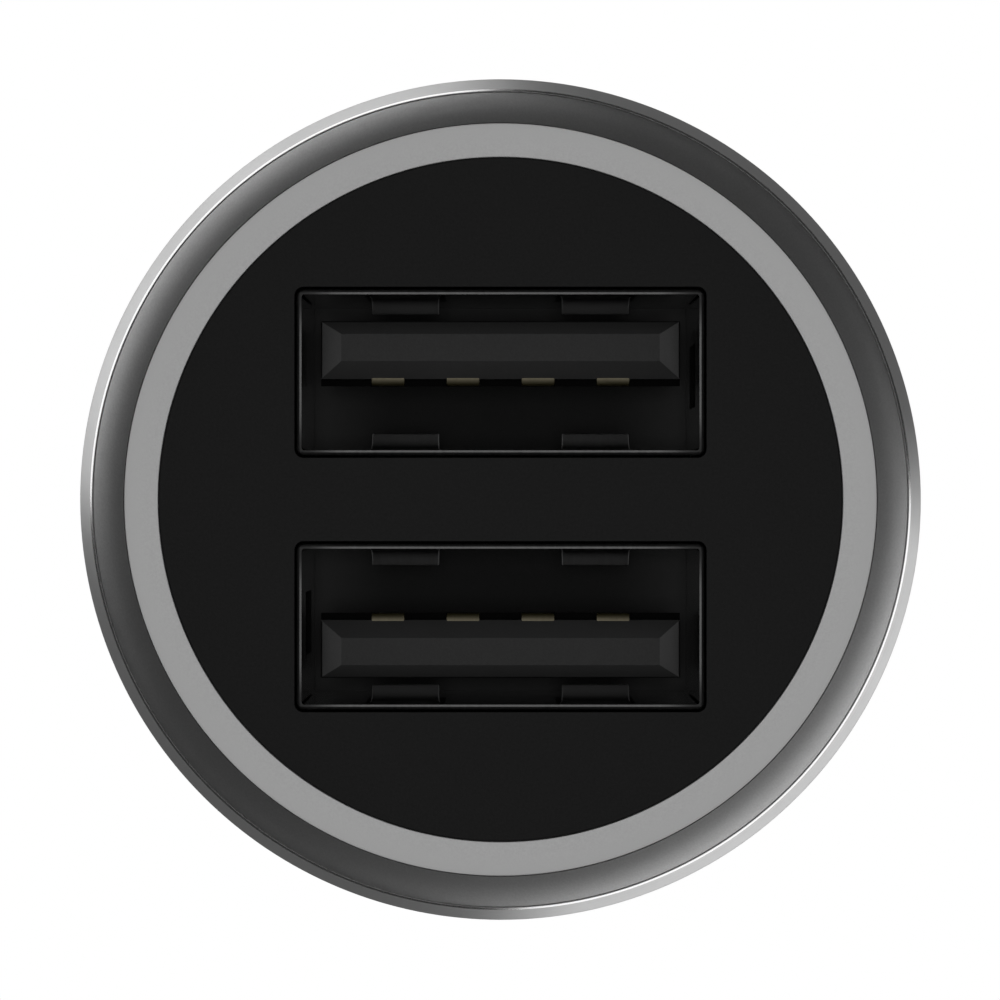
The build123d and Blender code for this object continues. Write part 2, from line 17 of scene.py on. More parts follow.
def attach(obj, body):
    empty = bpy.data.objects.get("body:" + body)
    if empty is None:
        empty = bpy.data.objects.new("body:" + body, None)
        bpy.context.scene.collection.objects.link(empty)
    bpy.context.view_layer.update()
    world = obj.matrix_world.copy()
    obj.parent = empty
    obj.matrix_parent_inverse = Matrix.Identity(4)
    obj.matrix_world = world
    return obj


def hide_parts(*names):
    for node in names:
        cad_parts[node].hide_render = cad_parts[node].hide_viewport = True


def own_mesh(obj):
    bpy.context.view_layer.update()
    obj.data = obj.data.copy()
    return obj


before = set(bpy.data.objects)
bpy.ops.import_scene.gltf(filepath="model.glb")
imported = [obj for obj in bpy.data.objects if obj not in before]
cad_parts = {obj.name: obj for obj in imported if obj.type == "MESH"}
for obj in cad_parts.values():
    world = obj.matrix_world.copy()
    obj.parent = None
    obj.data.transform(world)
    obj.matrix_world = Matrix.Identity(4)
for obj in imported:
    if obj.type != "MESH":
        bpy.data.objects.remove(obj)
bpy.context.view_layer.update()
MM = 0.001

# %% [markdown]
# ## Camera
#
# The photograph looks straight at the face, so the camera stands on the plug's axis and looks along +Y. From about
# 0.165 m a long lens shows as much of the tongues' inner sides as the photograph does. The lens follows from the
# head's outline: 12.9 mm of radius has to cover 420 of 1000 pixels, and the picture sits half a pixel high and right.

# %% Place the camera on the axis
PIXELS = 1000
OUTLINE_PIXELS = 420.35
OFF_CENTRE = 0.5
SENSOR = 36.0
camera_gap = 165.0
head_r = 12.9
outline_y = -18.675
pixels_per_mm = OUTLINE_PIXELS / head_r
aside = -OFF_CENTRE * MM / pixels_per_mm

bpy.ops.object.select_all(action="DESELECT")
bpy.ops.object.camera_add(
    location=(aside, (outline_y - camera_gap) * MM, aside),
    rotation=(math.radians(90), 0, 0),
)
camera = bpy.context.object
camera.name = "face_camera"
camera.data.sensor_width = SENSOR
camera.data.lens = SENSOR * OUTLINE_PIXELS / PIXELS * camera_gap / head_r
camera.data.clip_start = 0.01
bpy.context.scene.camera = camera
bpy.context.scene.view_settings.view_transform = "Standard"
print("lens", round(camera.data.lens, 1), "mm,", round(pixels_per_mm, 2), "pixels per mm")

# %% [markdown]
# ## Studio
#
# In the photograph the metal is bright at the upper left and the lower right and dark across the other diagonal, and
# the black face shows no glare. A product photographer gets that with two soft boxes beside the plug, a dim one in
# front, and dark cloth round them. Here the soft boxes are area lamps, and the cloth is a round tent that only
# reflections can see. Towards the back the cloth turns pale, more so above, which gives the barrel a soft shading, and
# the tent's end is open. A small lamp in line with the lens reaches into the ports. The white background is the world
# itself, which reflections see through the tent's end. Its light on matt surfaces is lower. The floor lies below the
# picture and fades out at its rim, and from below it can't be seen at all.


# %% Adding shader nodes, and hiding things from some rays
def feed(tree, node, sockets):
    """Give each named input of a node a plain value or the output of another node."""
    for name, value in sockets.items():
        if isinstance(value, bpy.types.NodeSocket):
            tree.links.new(value, node.inputs[name])
        else:
            node.inputs[name].default_value = value


def add_node(tree, kind, sockets=None, **settings):
    """Add a shader node to a tree, with its settings and its inputs."""
    node = tree.nodes.new("ShaderNode" + kind)
    for name, value in settings.items():
        setattr(node, name, value)
    feed(tree, node, sockets or {})
    return node


def spread(tree, value, start, end, low=0.0, high=1.0, way="LINEAR"):
    """A value that runs from low to high while another one runs from start to end."""
    sockets = {"Value": value, "From Min": start, "From Max": end, "To Min": low, "To Max": high}
    return add_node(tree, "MapRange", sockets, interpolation_type=way).outputs["Result"]


def place_in(tree):
    """The coordinates of the piece that a material lies on."""
    return add_node(tree, "TexCoord").outputs["Object"]


def hide(thing, *rays):
    """Keep rays of some kinds from seeing a lamp or a piece."""
    for ray in rays:
        setattr(thing, "visible_" + ray, False)


# %% White world
WORLD_FILL, WORLD_WHITE = 0.82, 1.0
world = bpy.data.worlds.new("white_room")
bpy.context.scene.world = world
world.use_nodes = True
tree = world.node_tree
tree.nodes.clear()
path = add_node(tree, "LightPath")
seen = path.outputs["Is Camera Ray"]
for ray in ("Is Glossy Ray", "Is Transmission Ray"):
    seen = add_node(tree, "Math", {0: seen, 1: path.outputs[ray]}, operation="MAXIMUM").outputs[0]
fill = add_node(tree, "Background", {"Color": (1, 1, 1, 1), "Strength": WORLD_FILL})
white = add_node(tree, "Background", {"Color": (1, 1, 1, 1), "Strength": WORLD_WHITE})
either = add_node(tree, "MixShader", {"Fac": seen, 1: fill.outputs[0], 2: white.outputs[0]})
add_node(tree, "OutputWorld", {"Surface": either.outputs[0]})
print("world fill", WORLD_FILL)

# %% Soft boxes at the upper left and the lower right, and a dim one in front
BOX_GAP, BOX_SIZE, BOX_RADIANCE = 0.35, (0.68, 0.20), 1.15
DIM_SIZE, DIM_RADIANCE = (0.25, 0.15), 0.19
aim = Vector((0, -0.015, 0))


def soft_box(name, way, across, gap, size, radiance):
    """An area lamp that looks at the head from a direction, its long side lying along another direction."""
    bpy.ops.object.select_all(action="DESELECT")
    bpy.ops.object.light_add(type="AREA", location=aim + way * gap)
    lamp = bpy.context.object
    lamp.name = name
    lamp.rotation_euler = Matrix((across, way.cross(across), way)).transposed().to_euler()
    lamp.data.shape = "RECTANGLE"
    lamp.data.size, lamp.data.size_y = size
    lamp.data.energy = radiance * math.pi * size[0] * size[1]
    hide(lamp, "camera")
    print(name, round(lamp.data.energy, 3), "W")
    return lamp


def placed_box(name, turn, off_axis, size, radiance):
    """A soft box at an angle round the plug's axis and an angle off it."""
    tilt, lean = math.radians(turn), math.radians(off_axis)
    out = Vector((math.cos(tilt), 0, math.sin(tilt)))
    across = Vector((-math.sin(tilt), 0, math.cos(tilt)))
    way = out * math.sin(lean) - Vector((0, math.cos(lean), 0))
    return soft_box(name, way, across, BOX_GAP, size, radiance)


placed_box("soft_box_left", 136.5, 85, BOX_SIZE, BOX_RADIANCE)
placed_box("soft_box_right", 317, 89, BOX_SIZE, BOX_RADIANCE)
hide(placed_box("soft_box_dim", 135, 32, DIM_SIZE, DIM_RADIANCE), "diffuse")

# %% A small lamp in line with the lens, which reaches into the ports
LENS_GAP, LENS_SIZE, LENS_RADIANCE = 0.3, (0.03, 0.03), 62
ahead, right = Vector((0, -1, 0)), Vector((1, 0, 0))
hide(soft_box("lens_lamp", ahead, right, LENS_GAP, LENS_SIZE, LENS_RADIANCE), "glossy")

# %% Dark tent round the front, for reflections only
TENT_RADIUS, TENT_TURN, TENT_END = 0.8, 0.3, 0.95
TENT_FRONT, TENT_SIDE, TENT_BACK = 0.028, 0.032, 0.9
TENT_LOW, TENT_HIGH = (-0.5, 0.12), (0.6, 1.4)
bpy.ops.object.select_all(action="DESELECT")
bpy.ops.mesh.primitive_uv_sphere_add(segments=64, ring_count=32, radius=TENT_RADIUS)
tent = bpy.context.object
tent.name = "reflection_tent"
bpy.ops.object.mode_set(mode="EDIT")
bpy.ops.mesh.select_all(action="SELECT")
bpy.ops.mesh.bisect(plane_co=(0, TENT_END * TENT_RADIUS, 0), plane_no=(0, 1, 0), clear_outer=True)
bpy.ops.object.mode_set(mode="OBJECT")
cloth = bpy.data.materials.new("tent_cloth")
cloth.use_nodes = True
tree = cloth.node_tree
tree.nodes.clear()
axes = add_node(tree, "SeparateXYZ", {0: place_in(tree)}).outputs


def ramp(axis, start, end, low, high):
    """A value that runs from low to high between two places on an axis, given as shares of the tent's radius."""
    return spread(tree, axes[axis], start * TENT_RADIUS, end * TENT_RADIUS, low, high)


front = ramp("Y", -1, 0, TENT_FRONT, TENT_SIDE)
back = ramp("Y", TENT_TURN, TENT_END, 0, TENT_BACK)
height = ramp("Z", TENT_LOW[0], TENT_HIGH[0], TENT_LOW[1], TENT_HIGH[1])
shade = add_node(tree, "Math", {0: back, 1: height, 2: front}, operation="MULTIPLY_ADD")
glow = add_node(tree, "Emission", {"Strength": shade.outputs[0]})
add_node(tree, "OutputMaterial", {"Surface": glow.outputs[0]})
tent.data.materials.append(cloth)
hide(tent, "camera", "diffuse", "shadow", "transmission", "volume_scatter")
print("tent cloth", TENT_FRONT, "in front,", TENT_SIDE, "at the sides,", TENT_BACK, "behind")

# %% Pale floor below the picture
FLOOR_Z, FLOOR_RADIUS = -0.034, 0.15
FADE_START, FADE_END = 0.4, 0.98
bpy.ops.object.select_all(action="DESELECT")
bpy.ops.mesh.primitive_circle_add(
    vertices=96, radius=FLOOR_RADIUS, fill_type="NGON", location=(0, 0.01, FLOOR_Z)
)
floor = bpy.context.object
floor.name = "floor"
paper = bpy.data.materials.new("floor_paper")
paper.use_nodes = True
tree = paper.node_tree
reach = add_node(tree, "VectorMath", {0: place_in(tree)}, operation="LENGTH").outputs["Value"]
fade = spread(tree, reach, FADE_START * FLOOR_RADIUS, FADE_END * FLOOR_RADIUS, 1.0, 0.0, "SMOOTHSTEP")
below = add_node(tree, "NewGeometry").outputs["Backfacing"]
above = add_node(tree, "Math", {0: fade, 1: below}, operation="SUBTRACT", use_clamp=True).outputs[0]
matt = {"Base Color": (0.86, 0.86, 0.86, 1), "Roughness": 0.9, "Specular IOR Level": 0.1, "Alpha": above}
feed(tree, tree.nodes["Principled BSDF"], matt)
floor.data.materials.append(paper)
hide(floor, "glossy", "shadow")
print("floor at", FLOOR_Z, "m")

# %% [markdown]
# ## Ways of working
#
# An operator acts on whatever is selected, so each piece starts from nothing selected. Turned pieces are drawn as
# half of their section, one vertex extruded from corner to corner, and then spun round the axis, as on a lathe.
# Folded sheet is drawn as its side view, pulled to its width and thickened. Small radii are part of the drawing,
# because a real edge is never sharp and the thin bright line it catches is what makes it look real.


# %% Selecting and measuring
def rest():
    """Leave edit mode and deselect everything."""
    if bpy.context.object and bpy.context.object.mode != "OBJECT":
        bpy.ops.object.mode_set(mode="OBJECT")
    bpy.ops.object.select_all(action="DESELECT")


def choose(piece):
    """Select one piece alone and make it the active one."""
    rest()
    piece.select_set(True)
    bpy.context.view_layer.objects.active = piece


def work_on(piece):
    """Open one piece in edit mode, with all of it selected."""
    choose(piece)
    bpy.ops.object.mode_set(mode="EDIT")
    bpy.ops.mesh.select_all(action="SELECT")


def pick(piece, kind, test):
    """In edit mode, select the vertices, edges or faces that pass a test, and nothing else."""
    bpy.ops.mesh.select_mode(type=kind)
    bpy.ops.mesh.select_all(action="DESELECT")
    shape = bmesh.from_edit_mesh(piece.data)
    chosen = [e for e in {"VERT": shape.verts, "EDGE": shape.edges, "FACE": shape.faces}[kind] if test(e)]
    for element in chosen:
        element.select_set(True)
    shape.select_flush_mode()
    bmesh.update_edit_mesh(piece.data)
    return len(chosen)


def measure(piece):
    """Print a piece's size, its faces and how many of its edges are open."""
    rest()
    shape = bmesh.new()
    shape.from_mesh(piece.data)
    loose = sum(1 for edge in shape.edges if len(edge.link_faces) != 2)
    low, high = ([round(end(v.co[i] for v in shape.verts) / MM, 2) for i in range(3)] for end in (min, max))
    print(piece.name, "from", low, "to", high, "faces", len(shape.faces), "open edges", loose)
    shape.free()


# %% Drawing from corner to corner
def named(name):
    """Give the piece that an operator has just made its name."""
    piece = bpy.context.object
    piece.name = name
    piece.data.name = name
    return piece


def dot(name, point):
    """A new piece in edit mode: a plane merged to a single vertex, moved to a point in mm."""
    rest()
    bpy.ops.mesh.primitive_plane_add(size=MM)
    piece = named(name)
    bpy.ops.object.mode_set(mode="EDIT")
    bpy.ops.mesh.select_mode(type="VERT")
    bpy.ops.mesh.select_all(action="SELECT")
    bpy.ops.mesh.merge(type="CENTER")
    bpy.ops.transform.translate(value=Vector(point) * MM)
    return piece


def pull(step):
    """Extrude what is selected by a step in mm."""
    bpy.ops.mesh.extrude_region_move(TRANSFORM_OT_translate={"value": Vector(step) * MM})


def draw(points):
    """Extrude the selected vertex along a row of points in mm, the first of which is where it is."""
    for here, there in zip(points, points[1:]):
        pull(Vector(there) - Vector(here))


def tidy_mesh():
    """In edit mode, merge what coincides and turn all faces outwards."""
    bpy.ops.mesh.select_all(action="SELECT")
    bpy.ops.mesh.remove_doubles(threshold=1e-7)
    bpy.ops.mesh.normals_make_consistent(inside=False)


# %% Corners with a radius, and arcs
def short_way(first, last):
    """The angle from one direction to another, the short way round."""
    return (last - first + math.pi) % (2 * math.pi) - math.pi


def around(centre, radius, first, sweep, steps):
    """Points on a circle, from an angle through a sweep."""
    turns = [first + sweep * i / steps for i in range(steps + 1)]
    return [(centre.x + radius * math.cos(a), centre.y + radius * math.sin(a)) for a in turns]


def arc(start, end, radius, steps):
    """Points on the short arc between two points; the sign of the radius says on which side it is hollow."""
    a, b = Vector(start), Vector(end)
    chord = b - a
    side = Vector((-chord.y, chord.x)).normalized()
    rise = math.sqrt(radius**2 - (chord.length / 2) ** 2)
    centre = (a + b) / 2 + side * math.copysign(rise, radius)
    first = math.atan2(a.y - centre.y, a.x - centre.x)
    last = math.atan2(b.y - centre.y, b.x - centre.x)
    return around(centre, abs(radius), first, short_way(first, last), steps)


def rounded(corners, steps=4):
    """An outline of (u, v, radius) corners as points, each corner turned into an arc of its radius."""
    points = []
    for i, (u, v, radius) in enumerate(corners):
        here = Vector((u, v))
        if radius == 0:
            points.append((u, v))
            continue
        back = (Vector(corners[i - 1][:2]) - here).normalized()
        ahead = (Vector(corners[(i + 1) % len(corners)][:2]) - here).normalized()
        half = back.angle(ahead) / 2
        centre = here + (back + ahead).normalized() * (radius / math.sin(half))
        start = here + back * (radius / math.tan(half)) - centre
        stop = here + ahead * (radius / math.tan(half)) - centre
        first = math.atan2(start.y, start.x)
        sweep = short_way(first, math.atan2(stop.y, stop.x))
        points += around(centre, radius, first, sweep, steps)
    return points


# %% Turned pieces, plates and blocks
LATHE_STEPS = 256


def lathe(name, outline, steps=LATHE_STEPS, closed=True):
    """Spin an outline of (radius, y) points round the plug's axis; one that ends on the axis isn't closed."""
    points = [(r, y, 0) for r, y in outline]
    piece = dot(name, points[0])
    draw(points + points[:1] if closed else points)
    bpy.ops.mesh.select_all(action="SELECT")
    bpy.ops.mesh.spin(steps=steps, angle=2 * math.pi, center=(0, 0, 0), axis=(0, 1, 0))
    tidy_mesh()
    rest()
    return piece


def plate(name, points):
    """A flat face with a closed outline of points in mm, in edit mode and selected."""
    piece = dot(name, points[0])
    draw(points + points[:1])
    bpy.ops.mesh.select_all(action="SELECT")
    bpy.ops.mesh.remove_doubles(threshold=1e-7)
    bpy.ops.mesh.edge_face_add()
    bpy.ops.mesh.select_mode(type="FACE")
    bpy.ops.mesh.select_all(action="SELECT")
    return piece


def thick_plate(name, points, step):
    """A plate that is pulled by a step in mm to become a solid."""
    piece = plate(name, points)
    pull(step)
    tidy_mesh()
    rest()
    return piece


def block(name, low, high):
    """A box between two corners in mm, used as a cutter or as the start of a piece."""
    low, high = Vector(low) * MM, Vector(high) * MM
    rest()
    bpy.ops.mesh.primitive_cube_add(size=1, location=(low + high) / 2, scale=high - low)
    piece = named(name)
    bpy.ops.object.transform_apply(location=True, rotation=True, scale=True)
    return piece


# %% Copies, and pieces joined to one
def copied(piece, name):
    """A copy of a piece with a mesh of its own."""
    twin = piece.copy()
    twin.data = piece.data.copy()
    twin.name = name
    twin.data.name = name
    bpy.context.scene.collection.objects.link(twin)
    return twin


def moved(piece, step=(0, 0, 0), turn=0.0, centre=(0, 0, 0)):
    """Move a piece by a step in mm, then turn it about the line along Y through a centre in mm."""
    work_on(piece)
    bpy.ops.transform.translate(value=Vector(step) * MM)
    bpy.ops.transform.rotate(value=turn, orient_axis="Y", center_override=Vector(centre) * MM)
    rest()
    return piece


def turned_over(piece):
    """Turn a piece half round about the plug's axis: the lower port is the upper one turned over."""
    return moved(piece, turn=math.pi)


def join(name, pieces):
    """Make one piece of several."""
    choose(pieces[0])
    for piece in pieces:
        piece.select_set(True)
    bpy.ops.object.join()
    return named(name)


# %% Cuts, round edges and the last touch
def modify(piece, kind, **settings):
    """Add a modifier to a piece and apply it."""
    choose(piece)
    tool = piece.modifiers.new(kind.lower(), kind)
    for name, value in settings.items():
        setattr(tool, name, value)
    bpy.ops.object.modifier_apply(modifier=tool.name)


def cut(piece, cutter):
    """Cut one piece out of another and remove the cutter."""
    modify(piece, "BOOLEAN", operation="DIFFERENCE", solver="EXACT", object=cutter)
    bpy.data.objects.remove(cutter)


def round_edges(piece, test, width, segments=3):
    """In edit mode, round the edges that pass a test by a width in mm."""
    count = pick(piece, "EDGE", test)
    bpy.ops.mesh.bevel(offset=width * MM, segments=segments, affect="EDGES")
    print(piece.name, "has", count, "edges rounded by", width, "mm")


def at_depth(edge, y):
    """Whether an edge lies at one place along the axis, in mm."""
    return all(abs(v.co.y / MM - y) < 1e-3 for v in edge.verts)


def soften(piece, width, segments=2, angle=35):
    """Round a piece's sharp edges by a width in mm."""
    limit = math.radians(angle)
    modify(piece, "BEVEL", width=width * MM, segments=segments, limit_method="ANGLE", angle_limit=limit)


def smooth(piece, angle=32):
    """Smooth shading with sharp creases kept, and flat faces that stay flat."""
    choose(piece)
    bpy.ops.object.shade_smooth_by_angle(angle=math.radians(angle))
    modify(piece, "WEIGHTED_NORMAL", keep_sharp=True)
    measure(piece)


# %% [markdown]
# ## Outer shell
#
# Head and barrel are turned from one bar. In front the shell has a wide chamfer, a thin polished crest, a hairline
# groove inside it and a hollow dish that runs down to the light ring. The dish starts flat and gets steeper towards
# the rim, in many short steps, so its reflection runs evenly from dark to light. The crest is only 0.06 mm wide, but
# it is the bright line of the picture, and the groove of 0.03 mm is the dark line beside it.

# %% Turn the shell
seat_r, head_bore_r, collar_r, barrel_r, bore_r = 11.605, 10.9, 10.35, 10.15, 9.0
rim_y, face_y, shelf_y, step_y = -19.0, -18.25, -15.75, -2.0
collar_y, barrel_y = 5.5, 26.2
heel, collar_step, bore_lead = 0.7, 0.2, 0.25
groove_r, crest_r, chamfer_r, chamfer_y = 12.478, 12.511, 12.575, -18.953
groove_deep, groove_side = 0.02, 0.008
dish_wide, dish_steps = groove_r - seat_r, 28
inner_slope, outer_slope, hollow = 0.46, 1.08, 1.6


def dish_rise(along):
    """How far the dish has risen at a share of its width, in mm: its slope grows from inner to outer by a power."""
    gain = (outer_slope - inner_slope) * along ** (hollow + 1) / (hollow + 1)
    return dish_wide * (inner_slope * along + gain)


shares = [i / dish_steps for i in range(dish_steps + 1)]
dish = [(seat_r + dish_wide * along, face_y - dish_rise(along)) for along in shares]
groove_y = dish[-1][1] + groove_deep
groove = [(groove_r + groove_side, groove_y), (crest_r - groove_side, groove_y)]
crest = [(crest_r + out, rim_y + down) for out, down in ((0, 0.015), (0.004, 0.005), (0.01, 0))]
body = rounded(
    [
        (chamfer_r, chamfer_y, 0),
        (head_r, outline_y, 0.04),
        (head_r, -heel, 0.12),
        (head_r - heel, 0, 0.12),
        (collar_r, 0, 0.15),
        (collar_r, collar_y, 0.08),
        (barrel_r, collar_y + collar_step, 0.08),
        (barrel_r, barrel_y, 0.12),
        (bore_r + bore_lead, barrel_y, 0.05),
        (bore_r, barrel_y - bore_lead, 0.05),
        (bore_r, step_y, 0),
        (head_bore_r, step_y, 0),
        (head_bore_r, shelf_y, 0),
        (seat_r, shelf_y, 0),
    ]
)
outer_shell = lathe("shell", dish + groove + crest + body)
measure(outer_shell)

# %% Cut the windows for the ground springs
window_half, window_front, window_back, window_corner = 2.5, 6.2, 21.3, 0.6
window_near, window_edge, cutter_reach = 0.1, 0.09, 15
window = rounded(
    [
        (window_half, window_front, window_corner),
        (window_half, window_back, window_corner),
        (-window_half, window_back, window_corner),
        (-window_half, window_front, window_corner),
    ],
    steps=8,
)
cutter = thick_plate("window_cutter", [(x, y, -cutter_reach) for x, y in window], (0, 0, 2 * cutter_reach))
cut(outer_shell, cutter)


def at_window_edge(edge):
    """An outer edge of a spring window: on the barrel's surface and on the window's outline."""
    for spot in (v.co / MM for v in edge.verts):
        on_barrel = abs(math.hypot(spot.x, spot.z) - barrel_r) < 0.02
        beside = abs(spot.x) < window_half + window_near
        if not (on_barrel and beside and window_front - window_near < spot.y < window_back + window_near):
            return False
    return len(edge.link_faces) == 2 and edge.calc_face_angle() > 0.5


work_on(outer_shell)
round_edges(outer_shell, at_window_edge, window_edge)
smooth(outer_shell)

# %% [markdown]
# ## Light ring
#
# The ring is a moulded diffuser that sits at the foot of the dish, with a ledge behind it on which the face plate
# rests. Its front is flat, and the two front edges carry a radius of a twentieth of a millimetre that shows as a
# slightly paler line. It is turned like the shell.

# %% Turn the ring
ring_r, ring_inner_r, ledge_r = 11.585, 10.545, 9.63
ledge_y = -16.75
light_ring = lathe(
    "ring",
    rounded(
        [
            (ring_inner_r, face_y, 0.05),
            (ring_r, face_y, 0.05),
            (ring_r, shelf_y, 0.1),
            (ledge_r, shelf_y, 0.1),
            (ledge_r, ledge_y, 0.05),
            (ring_inner_r, ledge_y, 0),
        ]
    ),
)
smooth(light_ring)

# %% [markdown]
# ## Face plate
#
# The face is a moulded black disc with a slot for each port and two snap hooks behind it. A disc made as one flat
# face keeps its front free of stray edges, so the slots are cut out of it and only their front edges are rounded.

# %% Disc with two slots
face_r, face_edge, slot_edge, port_z = 10.515, 0.05, 0.035, 3.916
slot_half_x, slot_half_z, slot_corner = 6.34, 2.63, 0.27
rest()
bpy.ops.mesh.primitive_circle_add(
    vertices=LATHE_STEPS,
    radius=face_r * MM,
    fill_type="NGON",
    location=(0, face_y * MM, 0),
    rotation=(math.radians(90), 0, 0),
)
face_plate = named("face")
bpy.ops.object.transform_apply(location=True, rotation=True, scale=True)
work_on(face_plate)
pull((0, ledge_y - face_y, 0))
tidy_mesh()
round_edges(face_plate, lambda edge: at_depth(edge, face_y), face_edge)


def port_outline(half_x, half_z, corner, y, steps=6):
    """The upper port's rounded rectangle at one depth, in mm."""
    corners = [
        (half_x, port_z + half_z, corner),
        (-half_x, port_z + half_z, corner),
        (-half_x, port_z - half_z, corner),
        (half_x, port_z - half_z, corner),
    ]
    return [(x, y, z) for x, z in rounded(corners, steps)]


slot = port_outline(slot_half_x, slot_half_z, slot_corner, face_y - 1)
slot_reach = (0, 4, 0)
cut(face_plate, thick_plate("slot_upper", slot, slot_reach))
cut(face_plate, turned_over(thick_plate("slot_lower", slot, slot_reach)))


def at_slot_mouth(edge):
    """A front edge of a slot."""
    inside = all(abs(v.co.x / MM) < slot_half_x + 0.01 for v in edge.verts)
    return inside and at_depth(edge, face_y) and len(edge.link_faces) == 2 and edge.calc_face_angle() > 1.0


work_on(face_plate)
round_edges(face_plate, at_slot_mouth, slot_edge)

# %% Snap hooks behind the disc
hook_half, hook_top, hook_thickness, hook_y = 2.0, 9.188, 0.85, -10.55
hook_head, hook_deep, hook_root_y = 0.9, 0.7, ledge_y - 0.2
hook_outline = rounded(
    [
        (hook_root_y, hook_top, 0),
        (hook_y - hook_head, hook_top, 0.05),
        (hook_y - hook_head, hook_top + hook_deep, 0.1),
        (hook_y, hook_top, 0.15),
        (hook_y, hook_top - hook_thickness, 0.15),
        (hook_root_y, hook_top - hook_thickness, 0),
    ]
)
hook = thick_plate("hook", [(-hook_half, y, z) for y, z in hook_outline], (2 * hook_half, 0, 0))
hook_below = turned_over(copied(hook, "hook_below"))
face_plate = join("face", [face_plate, hook, hook_below])
smooth(face_plate)

# %% [markdown]
# ## USB shells
#
# A USB shell is folded from thin plated sheet. Its front edge is rounded outwards, so that only a narrow flat on the
# inside shows as the bright outline of the opening. That flat is a bare cut edge that is also painted paler as a
# highlight, and the outer radius is painted dark as shade. Four spring leaves are cut free in the upper and lower wall
# and bend into the opening to grip a plug, and one side wall has a window. The tube starts as a rounded rectangle that
# is inset, opened and pulled back. The leaves are ribbons that slope gently at first and then steeply to a blunt tip,
# and they widen at the root, where the stamping has its radius. Their tips are rubbed and also painted paler as a
# highlight, their side edges are painted paler as highlights, and their roots are painted dark as shade.

# %% Folded tube
port_y, port_back, block_y, board_z = -18.13, -3.93, -6.13, 0.8
port_half_x, port_half_z, port_wall, port_corner = 6.125, 2.4, 0.16, 0.08
lip_round, lip_inner_round, lip_flat = 0.095, 0.02, 0.07
usb_shell = plate(
    "usb_shell",
    port_outline(port_half_x + port_wall, port_half_z + port_wall, port_corner + port_wall, port_y),
)
bpy.ops.mesh.inset(thickness=port_wall * MM, use_even_offset=True)
bpy.ops.mesh.delete(type="FACE")
bpy.ops.mesh.select_all(action="SELECT")
pull((0, port_back - port_y, 0))
tidy_mesh()


def from_inner_wall(point):
    """How far a point in mm lies outside the tube's inner outline, leaving its corner radius out of account."""
    return max(abs(point.x) - port_half_x, abs(point.z - port_z) - port_half_z)


def at_lip(edge, least, most):
    """A front edge of the tube that lies between two distances from its inner outline."""
    between = all(least < from_inner_wall(v.co / MM) < most for v in edge.verts)
    return between and at_depth(edge, port_y) and edge.calc_face_angle(0) > 1


round_edges(usb_shell, lambda edge: at_lip(edge, lip_flat, 1), lip_round, 4)
round_edges(usb_shell, lambda edge: at_lip(edge, -1, lip_flat), lip_inner_round, 2)
measure(usb_shell)

# %% Windows for the leaves, the side window and the notch for the block's foot
leaf_x, leaf_y, leaf_length = 2.96, -17.23, 5.2
leaf_root, leaf_tip, leaf_slit = 2.15, 2.05, 0.15
foot_half, foot_room, cutter_half = 5.0, 0.03, 4
for side in (-1, 1):
    half = leaf_root / 2 + leaf_slit
    cutter = block(
        "leaf_window",
        (side * leaf_x - half, leaf_y, port_z - cutter_half),
        (side * leaf_x + half, leaf_y + leaf_length + leaf_slit, port_z + cutter_half),
    )
    cut(usb_shell, cutter)
side_front, side_back, side_half_z = port_y + 3.6, port_y + 8.6, 1
cut(usb_shell, block("side_window", (3, side_front, port_z - side_half_z), (8, side_back, port_z + side_half_z)))
notch_half = foot_half + foot_room
cut(usb_shell, block("foot_notch", (-notch_half, block_y, port_z - cutter_half), (notch_half, -3, port_z)))
measure(usb_shell)


# %% A ribbon of sheet
def ribbon(name, path, half, thickness, widths=None):
    """A strip of sheet along a path of (y, z) points in mm, from -half to half in x, thickened to both sides."""
    piece = dot(name, (-half, *path[0]))
    draw([(-half, y, z) for y, z in path])
    bpy.ops.mesh.select_all(action="SELECT")
    pull((2 * half, 0, 0))
    tidy_mesh()
    for (y, z), width in zip(path, widths or []):
        here = Vector((0, y, z)) * MM
        pick(piece, "VERT", lambda v: (Vector((0, v.co.y, v.co.z)) - here).length < 1e-6)
        bpy.ops.transform.resize(value=(width / half, 1, 1), center_override=here)
    modify(piece, "SOLIDIFY", thickness=thickness * MM, offset=0, use_even_offset=True)
    return piece


# %% Leaves and solder legs
wall_z = port_z + port_half_z + port_wall / 2
leaf_sag, leaf_flare, flare_length = 0.56, 0.14, 0.9
leaf_thickness, leaf_edge = port_wall - 0.02, 0.03
LEAF = (
    (-leaf_slit, 0, 0),
    (0.1, 0, 1.0),
    (0.4, 0.035, 0),
    (0.8, 0.085, 1.0),
    (1.27, 0.22, 0.9),
    (1.62, leaf_sag, 0.14),
    (leaf_length, leaf_sag / 4, 0),
)
leaf_path = rounded([(leaf_y + along, wall_z - drop, radius) for along, drop, radius in LEAF], steps=6)
leaf_halves = []
for y, z in leaf_path:
    along = max(0.0, y - leaf_y)
    flare = max(0.0, 1 - along / flare_length) ** 2
    taper = min(1.0, along / (leaf_length / 2))
    leaf_halves.append((leaf_root + (leaf_tip - leaf_root) * taper) / 2 + leaf_flare * flare)
leaf = ribbon("leaf", leaf_path, leaf_root / 2, leaf_thickness, leaf_halves)
soften(leaf, leaf_edge)
leaves = [
    moved(copied(leaf, "leaf_copy"), (side * leaf_x, 0, 0), turn, (0, 0, port_z))
    for side in (-1, 1)
    for turn in (0, math.pi)
]
bpy.data.objects.remove(leaf)
leg_half, leg_front, leg_back, leg_top_z = 0.075, port_y + 6.5, port_y + 8.5, port_z - 1.2
legs = [
    block("leg", (x - leg_half, leg_front, board_z), (x + leg_half, leg_back, leg_top_z))
    for x in (-port_half_x - port_wall / 2, port_half_x + port_wall / 2)
]
usb_shell_upper = join("port_shell_upper", [usb_shell] + leaves + legs)
smooth(usb_shell_upper)
usb_shell_lower = turned_over(copied(usb_shell_upper, "port_shell_lower"))

